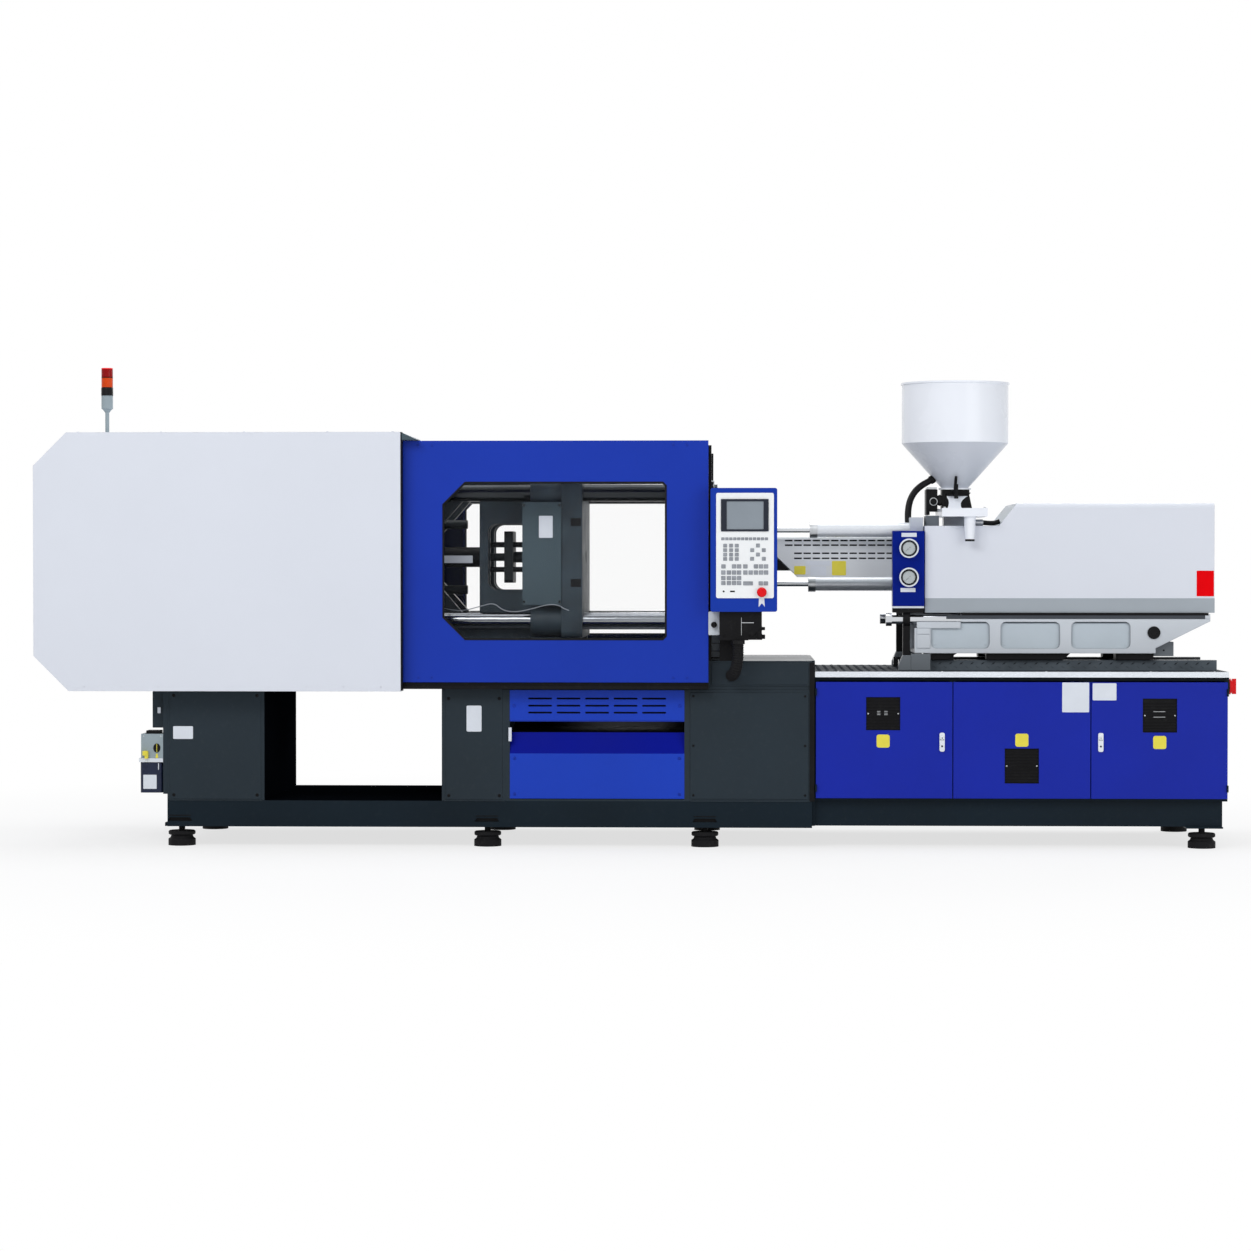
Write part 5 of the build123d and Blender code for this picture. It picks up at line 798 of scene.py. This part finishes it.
board = Piece("gauge_fittings", "carriage", "white_plastic")
glass = Piece("gauge_glasses", "carriage", "clear")
gauge(board, glass, GAUGES[0], 222)
gauge(board, glass, GAUGES[1], 225)
glass.done()
for x0, x1, z in ((1.188, 1.256, 1.381), (1.184, 1.251, 1.134)):
    plate(board, x0, x1, z, z + 0.018, -0.3462, -0.3448, LABEL, 0.002)
board.screws((1.158, 1.282), -0.345, (1.082, 1.398), FRONT, 0.003, GAUGE_BLUE, 0.002)
board.box((1.1495, -0.343, 1.0612), (1.29, -0.256, 1.0706), LABEL, 0.001)
# a black block under the board: painted shadow of the gap above the cap
board.box((1.15, -0.334, 1.0415), (1.288, -0.262, 1.0608), BLACK, 0.001)
for z in GAUGES:
    board.solid([(0, 0.01), (0.012, 0.01), (0.014, 0.007), (0.024, 0.006)], (GAUGE_X, -0.2505, z), REAR,
        BRASS, 6, smooth=False)
board.done()


# Cabinet doors: painted highlights on the vents, blank plates and latches
def door_plates(name, body, screws, sign, louvre_highlights=(), labels=()):
    """The small parts of one door: zinc dashes on the louvres as painted highlights, a blank yellow plate
    under the vent and blank labels.
    """
    piece = Piece(name, body, "black_plastic")
    x0, x1, middle = screws
    for x, z, half in louvre_highlights:
        piece.box((x - half, DOOR_Y + 0.0018, z - 0.001), (x + half, DOOR_Y + 0.0032, z + 0.001), ZINC,
            0.0003)
    piece.screws((x0, x1), DOOR_Y + 0.0026, middle, FRONT, 0.0032, ZINC, 0.002)
    film = (DOOR_Y - 0.0009, DOOR_Y + 0.0003)
    piece.prism(rounded(*sign, 0.01), *film, YELLOW, 0.0003)
    for corners in labels:
        plate(piece, *corners, *film, LABEL)
    piece.done()


door_plates("left_door_plates", "left_door", (1.033, 1.166, 0.5955), (1.0705, 1.1285, 0.445, 0.503),
    [(x, z, 0.0075) for x in (1.08, 1.112) for z in (0.591, 0.598, 0.606)])
door_plates("middle_panel_plates", BASE, (1.646, 1.779, 0.3645), (1.6835, 1.7415, 0.45, 0.508),
    labels=[(1.89, 2.009, 0.603, 0.735)])
door_plates("right_door_plates", "right_door", (2.254, 2.387, 0.589), (2.291, 2.349, 0.441, 0.499),
    [(2.318, z, 0.026) for z in (0.582, 0.606)], [(2.024, 2.129, 0.656, 0.732)])
for body, x in (("left_latch", 1.36), ("right_latch", 2.06)):
    latch = Piece(f"{body}_marks", body, "black_plastic")
    latch.box((x - 0.0085, -0.5296, 0.479), (x + 0.0085, -0.5284, 0.4822), BLACK, 0.0004)
    latch.solid([(0, 0.0042), (0.0012, 0.0042)], (x, -0.5284, 0.452), FRONT, BLACK, 18)
    latch.box((x - 0.0012, -0.534, 0.4835), (x + 0.0012, -0.5328, 0.4925), BLACK, 0.0002)
    latch.done()


# Bed: raised drops of the tread plate and of the rails' sides
def raised(part, outlines):
    """A low drop: its outline where it stands, and the smaller one of its top."""
    rings = [[part.verts.new(place) for place in outline] for outline in outlines]
    part.faces.new(rings[1])
    skin(part, rings)


tread = Piece("tread_drops", BASE, "steel")
drops = bmesh.new()
DROP = ((0.0135, 0), (0.006, 0.0042), (-0.006, 0.0042), (-0.0135, 0), (-0.006, -0.0042), (0.006, -0.0042))
for row, column in product(range(28), range(50)):
    x = 0.822 + 0.0365 * column
    y = -0.497 + 0.0368 * row
    on_rail = 0.208 < abs(y) < 0.35 and x > 1.15
    if not on_rail:
        angle = radians(45 if (row + column) % 2 else -45)
        c, s = cos(angle), sin(angle)
        raised(drops, [[(x + share * (a * c - b * s), y + share * (a * s + b * c), height) for a, b in DROP]
            for share, height in ((1.0, 0.7818), (0.62, 0.7832))])
for column, side in product(range(52), SIDES):
    x = 1.34 + 0.024 * column
    z = 0.796 + 0.017 * (column % 2)
    lean = 0.006 if column % 2 else -0.006
    outline = ((-0.0095, -lean), (0.0015, -lean * 0.1 - 0.0026), (0.0095, lean),
        (-0.0015, lean * 0.1 + 0.0026))
    raised(drops, [[(x + share * a, side * deep, z + share * b) for a, b in outline] for share,
        deep in ((1.0, 0.2899), (0.6, 0.2913))])
tread.merge(drops, TREAD)
tread.screws((0.9, 1.36, 1.82, 2.28, 2.56), (-0.516, 0.516), 0.782, UP, 0.0045, ZINC, 0.0022)
tread.screws(evenly(1.215, 0.097, 15), (-0.26, 0.26), 0.828, UP, 0.007, BLACK, 0.0001, socket=False)
tread.done()
feet = Piece("guide_post_feet", BASE, "dark_paint")
feet.prisms([(1.176, 0.7825), (1.231, 0.7825), (1.231, 0.85), (1.195, 0.85), (1.176, 0.806)], 0.286, 0.35,
    MID_GREY, 0.003)
feet.bolts((1.184, 1.222), (-0.338, 0.338), 0.782, UP, 0.006, ZINC)
feet.pair(1.231, 1.318, 0.34, 0.35, 0.7825, 0.857, MID_GREY, 0.003)
feet.pair(1.231, 1.318, 0.318, 0.34, 0.7825, 0.822, MID_GREY, 0.003)
feet.done()

# Injection unit: cowl, carriage and throat
cowl = Piece("cowl_fittings", "carriage", "white_paint")
BAND = (1.041, 1.106)
cowl.pair(1.2955, 2.587, 0.3197, 0.3212, *BAND, SHADE_GREY, 0.0005)
cowl.box((2.5866, -0.3212, BAND[0]), (2.5884, 0.3212, BAND[1]), SHADE_GREY, 0.0005)
for y in (-0.3212, 0.3198):
    plate(cowl, 2.508, 2.585, 1.115, 1.2295, y, y + 0.0014, RED_FILM, 0.003)
cowl.bolts(evenly(1.36, 0.195, 7), 0.3212, 1.056, REAR, 0.0045, WHITE, 0.003)
cowl.bolts(2.587, (-0.29, 0.0, 0.29), (1.14, 1.5), RIGHT, 0.0045, WHITE, 0.003)
for z, (y0, y1) in product(evenly(1.2, 0.014, 16), ((-0.24, -0.03), (0.03, 0.24))):
    cowl.prism([(y0, z), (y1, z), (y1, z + 0.007), (y0, z + 0.007)], 2.5868, 2.59, WHITE, 0.0012,
        along_x=True)
cowl.done()

unit = Piece("carriage_fittings", "carriage", "black_plastic")
# the sleeves
for x0, x_low, x_high in ((1.322, 1.396, 1.44), (1.572, 1.917, 1.946), (2.157, 2.318, 2.318)):
    unit.prisms([(x0, 0.8296), (x_low, 0.8296), (x_high, 0.8588), (x0, 0.8588)], 0.213, 0.31, BLACK)
for side in SIDES:
    out = (0, side, 0)
    unit.solid([(0, 0.0285), (0.0052, 0.0285), (0.0068, 0.0265), (0.0068, 0.019), (0.0045, 0.0175)],
        (2.317, side * 0.33, 0.952), out, PLASTIC)
    for k in range(6):
        angle = radians(60 * k)
        unit.turned([(0, 0.003), (0.0018, 0.003), (0.0022, 0)], (2.317 + 0.012 * cos(angle), side * 0.3345,
            0.952 + 0.012 * sin(angle)), out, PLASTIC, 10)
    unit.solid([(0, 0.004), (0.0015, 0.0036)], (2.365, side * 0.3, 0.872), out, BLACK, 12)
    for x in (1.34, 1.566, 1.651, 1.88, 1.967, 2.194):
        unit.solid([(0, 0.0038), (0.0014, 0.0034)], (x, side * 0.318, 0.898), out, POCKET_GREY, 12)
# the front edges' plates and strips, and the gussets
for z0, z1 in ((0.944, 0.9705), (0.8815, 0.9425)):
    unit.pair(1.2575, 1.318, 0.3296, 0.3334, z0, z1, PALE_GREY, 0.0012)
# the black strip and the dark grey strip under the cowl: painted shadow of the gap between casting and cowl
unit.pair(1.456, 2.56, 0.32, 0.3311, 1.029, 1.0408, BLACK, 0.001)
unit.pair(1.39, 2.545, 0.3285, 0.3309, 1.013, 1.029, SHADOW_GREY, 0.0004)
unit.pair(1.2575, 1.4545, 0.3297, 0.3306, 0.9712, 1.001, PALE_GREY, 0.0003)
unit.prisms([(2.32, 0.846), (2.409, 0.846), (2.409, 0.91), (2.392, 0.912), (2.32, 0.88)], 0.284, 0.3,
    MID_GREY, 0.002)
unit.done()

throat = Piece("throat_fittings", "carriage", "black_plastic")
throat.box((1.314, -0.064, 1.484), (1.3305, 0.064, 1.602), BLACK, 0.003)
throat.box((1.318, -0.056, 1.6005), (1.364, 0.056, 1.611), ZINC)
throat.turned([(0, 0.0148), (0, 0.019), (0.016, 0.019), (0.018, 0.0175), (0.018, 0.0148)],
    (1.35, -0.016, 1.6502), (-0.865, -0.29, -0.452), PLASTIC, 28)
throat.solid([(0, 0.0135), (0.01, 0.0135), (0.012, 0.0115)], (1.348, -0.06, 1.545), FRONT, PLASTIC, 24)
throat.ring((1.348, -0.06, 1.545), FRONT, 0.015, 0.0185, 0.002, ZINC)
throat.solid([(0, 0.024), (0.006, 0.026), (0.014, 0.022), (0.018, 0.016)], (1.377, -0.04, 1.551), FRONT,
    PLASTIC, 8, smooth=False)
throat.box((1.3045, -0.19, 1.4325), (1.3655, -0.05, 1.479), MID_GREY, 0.003)
throat.prism([(1.402, 1.5705), (1.5115, 1.5705), (1.524, 1.51), (1.404, 1.51)], -0.0665, -0.0615, BLACK,
    0.001)
throat.prism([(1.4, 1.5865), (1.516, 1.5865), (1.5135, 1.5795), (1.401, 1.5795)], -0.068, -0.0615, BLACK,
    0.001)
throat.prism([(1.4075, 1.57), (1.503, 1.57), (1.493, 1.564), (1.479, 1.552), (1.4715, 1.538), (1.472, 1.523),
    (1.478, 1.5105), (1.41, 1.5105), (1.4145, 1.523), (1.4175, 1.538), (1.4155, 1.552), (1.409, 1.563)],
    -0.07, -0.066, HOPPER, 0.0008)
throat.ring((1.492, -0.365, 1.3612), UP, 0.0151, 0.0214, 0.01, BLACK, 32)
throat.solid([(0, 0.01276), (0.00174, 0.0145), (0.04626, 0.0145), (0.048, 0.01276)], (1.512, -0.25, 1.446),
    RIGHT, ZINC, 24)
throat.tube([(1.556, -0.25, 1.446), (1.59, -0.25, 1.444), (1.612, -0.25, 1.445), (1.634, -0.25, 1.452)],
    0.011, PLASTIC, 16)
throat.bolts((1.378, 1.557), (-0.388, 0.088), 1.509, UP, 0.005, ZINC)
throat.done()
handle = Piece("gate_pull", "slide_gate", "black_plastic")
handle.tube([(1.4435, -0.093, 1.58), (1.444, -0.099, 1.608), (1.445, -0.118, 1.638), (1.446, -0.131, 1.656)],
    0.0068, PLASTIC, 14)
handle.done()

# Barrel guard: blank plates, seams and the dark corner by the panel
guard = Piece("guard_plates", "carriage", "white_plastic")
for x0, x1, z0, z1, film in ((0.767, 0.881, 1.2525, 1.274, LABEL), (0.786, 0.858, 1.206, 1.25, LABEL),
        (0.712, 0.764, 1.212, 1.251, YELLOW), (0.884, 0.948, 1.208, 1.274, YELLOW)):
    plate(guard, x0, x1, z0, z1, -0.097, -0.0957, film)
for z0, z1 in ((1.2795, 1.315), (1.34, 1.3745)):
    guard.box((0.69, -0.0925, z0), (1.228, -0.091, z1), BLACK, 0.0003)
for x, z in ((0.687, 1.367), (0.687, 1.346), (0.729, 1.367), (0.729, 1.346), (0.729, 1.309), (0.729, 1.286)):
    guard.box((x - 0.0175, -0.0966, z - 0.0035), (x + 0.0175, -0.0955, z + 0.0035), BLACK, 0.0003)
guard.prism([(0.6285, 1.283), (0.648, 1.272), (0.689, 1.231), (0.6285, 1.231)], -0.0985, -0.0955, BLACK,
    0.001)
guard.done()

# Clamp unit: what is seen through the gate's window
platen = Piece("platen_fittings", "moving_platen", "black_paint")
for z0, z1 in ((1.43, 1.466), (1.156, 1.192)):
    platen.pair(-0.296, -0.25, 0.3646, 0.3662, z0, z1, BLACK, 0.0005)
plate(platen, -0.438, -0.376, 1.377, 1.476, -0.3751, -0.3738, LABEL, 0.003)
platen.bolts((-0.506, -0.345), -0.374, (1.09, 1.524), FRONT, 0.0042, DARK_STEEL, 0.003)
platen.box((-1.02, -0.264, 1.264), (-0.746, -0.252, 1.298), PALE_GREY, 0.002)
platen.done()
mark = Piece("rear_gate_ring", "rear_gate", "steel")
mark.ring((-0.905, 0.562, 1.556), FRONT, 0.015, 0.027, 0.006, ZINC)
mark.done()

# Lubrication unit
oil = Piece("lubrication_fittings", BASE, "black_plastic")
oil.box((-2.163, -0.5, 0.527), (-2.1125, -0.42, 0.69), DARK, 0.003)
plate(oil, -2.14, -2.126, 0.592, 0.618, -0.5012, -0.4998, LABEL, 0.002)
oil.prism([(-2.14 + 0.016 * cos(radians(a)), 0.437 + 0.0205 * sin(radians(a))) for a in range(0, 360, 15)],
    -0.5215, -0.5195, PLASTIC, 0.0004)
oil.box((-2.1412, -0.5225, 0.418), (-2.1388, -0.5212, 0.456), YELLOW, 0.0003)
oil.prism([(-2.146, 0.3925), (-2.134, 0.3925), (-2.137, 0.412), (-2.143, 0.412)], -0.5226, -0.5196, YELLOW,
    0.0003)
plate(oil, -2.202, -2.142, 0.254, 0.317, -0.5172, -0.5158, LABEL, 0.003)
oil.box((-2.135, -0.5175, 0.34), (-2.1315, -0.5158, 0.369), LABEL, 0.0003)
oil.screws((-2.2, -2.122), -0.52, 0.49, FRONT, 0.0032, ZINC, 0.0025)
oil.turned([(0, 0.0086), (0, 0.013), (0.018, 0.013), (0.02, 0.0115), (0.02, 0)], (-2.19, -0.532, 0.405), UP,
    YELLOW, 12, smooth=False)
oil.done()

# Feet: the clamping discs above the pads
discs = Piece("foot_discs", BASE, "rubber")
for x, y in product(FEET_X, (-0.464, 0.464)):
    discs.turned([(0, 0.016), (0, 0.055), (0.004, 0.06), (0.015, 0.06), (0.019, 0.056), (0.019, 0.016)],
        (x, y, 0.047), UP, RUBBER, 40)
discs.done()

# Main switch
switch = Piece("main_switch_surround", BASE, "black_plastic")
switch.ring((2.6288, -0.44, 0.716), RIGHT, 0.037, 0.043, 0.005, PLASTIC)
switch.screws(2.629, (-0.48, -0.4), (0.68, 0.75), RIGHT, 0.0032, ZINC, 0.0022)
switch.done()


# Hoses
def hose(name, body, points, radius, material):
    """A hose on one smooth line; both ends go into the machine."""
    curve = bpy.data.curves.new(name, "CURVE")
    curve.dimensions = "3D"
    line = curve.splines.new("NURBS")
    line.points.add(len(points) - 1)
    for spot, place in zip(line.points, points):
        spot.co = (*place, 1)
    line.order_u = 3
    line.use_endpoint_u = True
    curve.resolution_u = 12
    route = placed(f"{name}_route", curve)
    bpy.context.view_layer.update()
    traced = bpy.data.meshes.new_from_object(route)
    bpy.data.meshes.remove(traced)
    bpy.data.objects.remove(route)
    curve.bevel_depth = radius
    curve.bevel_resolution = 5
    curve.use_fill_caps = True
    curve.materials.append(material)
    piece = placed(name, curve)
    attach(piece, body)


HOPPER_HOSE = [(1.3535, -0.015, 1.652), (1.318, -0.027, 1.6335), (1.285, -0.04, 1.613),
    (1.258, -0.055, 1.585), (1.239, -0.075, 1.549), (1.23, -0.098, 1.507), (1.228, -0.122, 1.46),
    (1.235, -0.145, 1.408), (1.25, -0.165, 1.352)]
hose("hopper_hose", "carriage", HOPPER_HOSE, 0.015, PLASTIC)
PLATEN_HOSE = [(-0.874, -0.3, 1.06), (-0.84, -0.33, 1.052), (-0.78, -0.368, 1.048), (-0.7, -0.378, 1.07),
    (-0.64, -0.38, 1.086), (-0.6, -0.38, 1.05), (-0.54, -0.38, 1.043), (-0.47, -0.38, 1.058),
    (-0.4, -0.381, 1.078), (-0.35, -0.38, 1.076), (-0.322, -0.372, 1.056), (-0.3, -0.362, 1.05)]
hose("platen_hose", "moving_platen", PLATEN_HOSE, 0.002, HOSE_GREY)
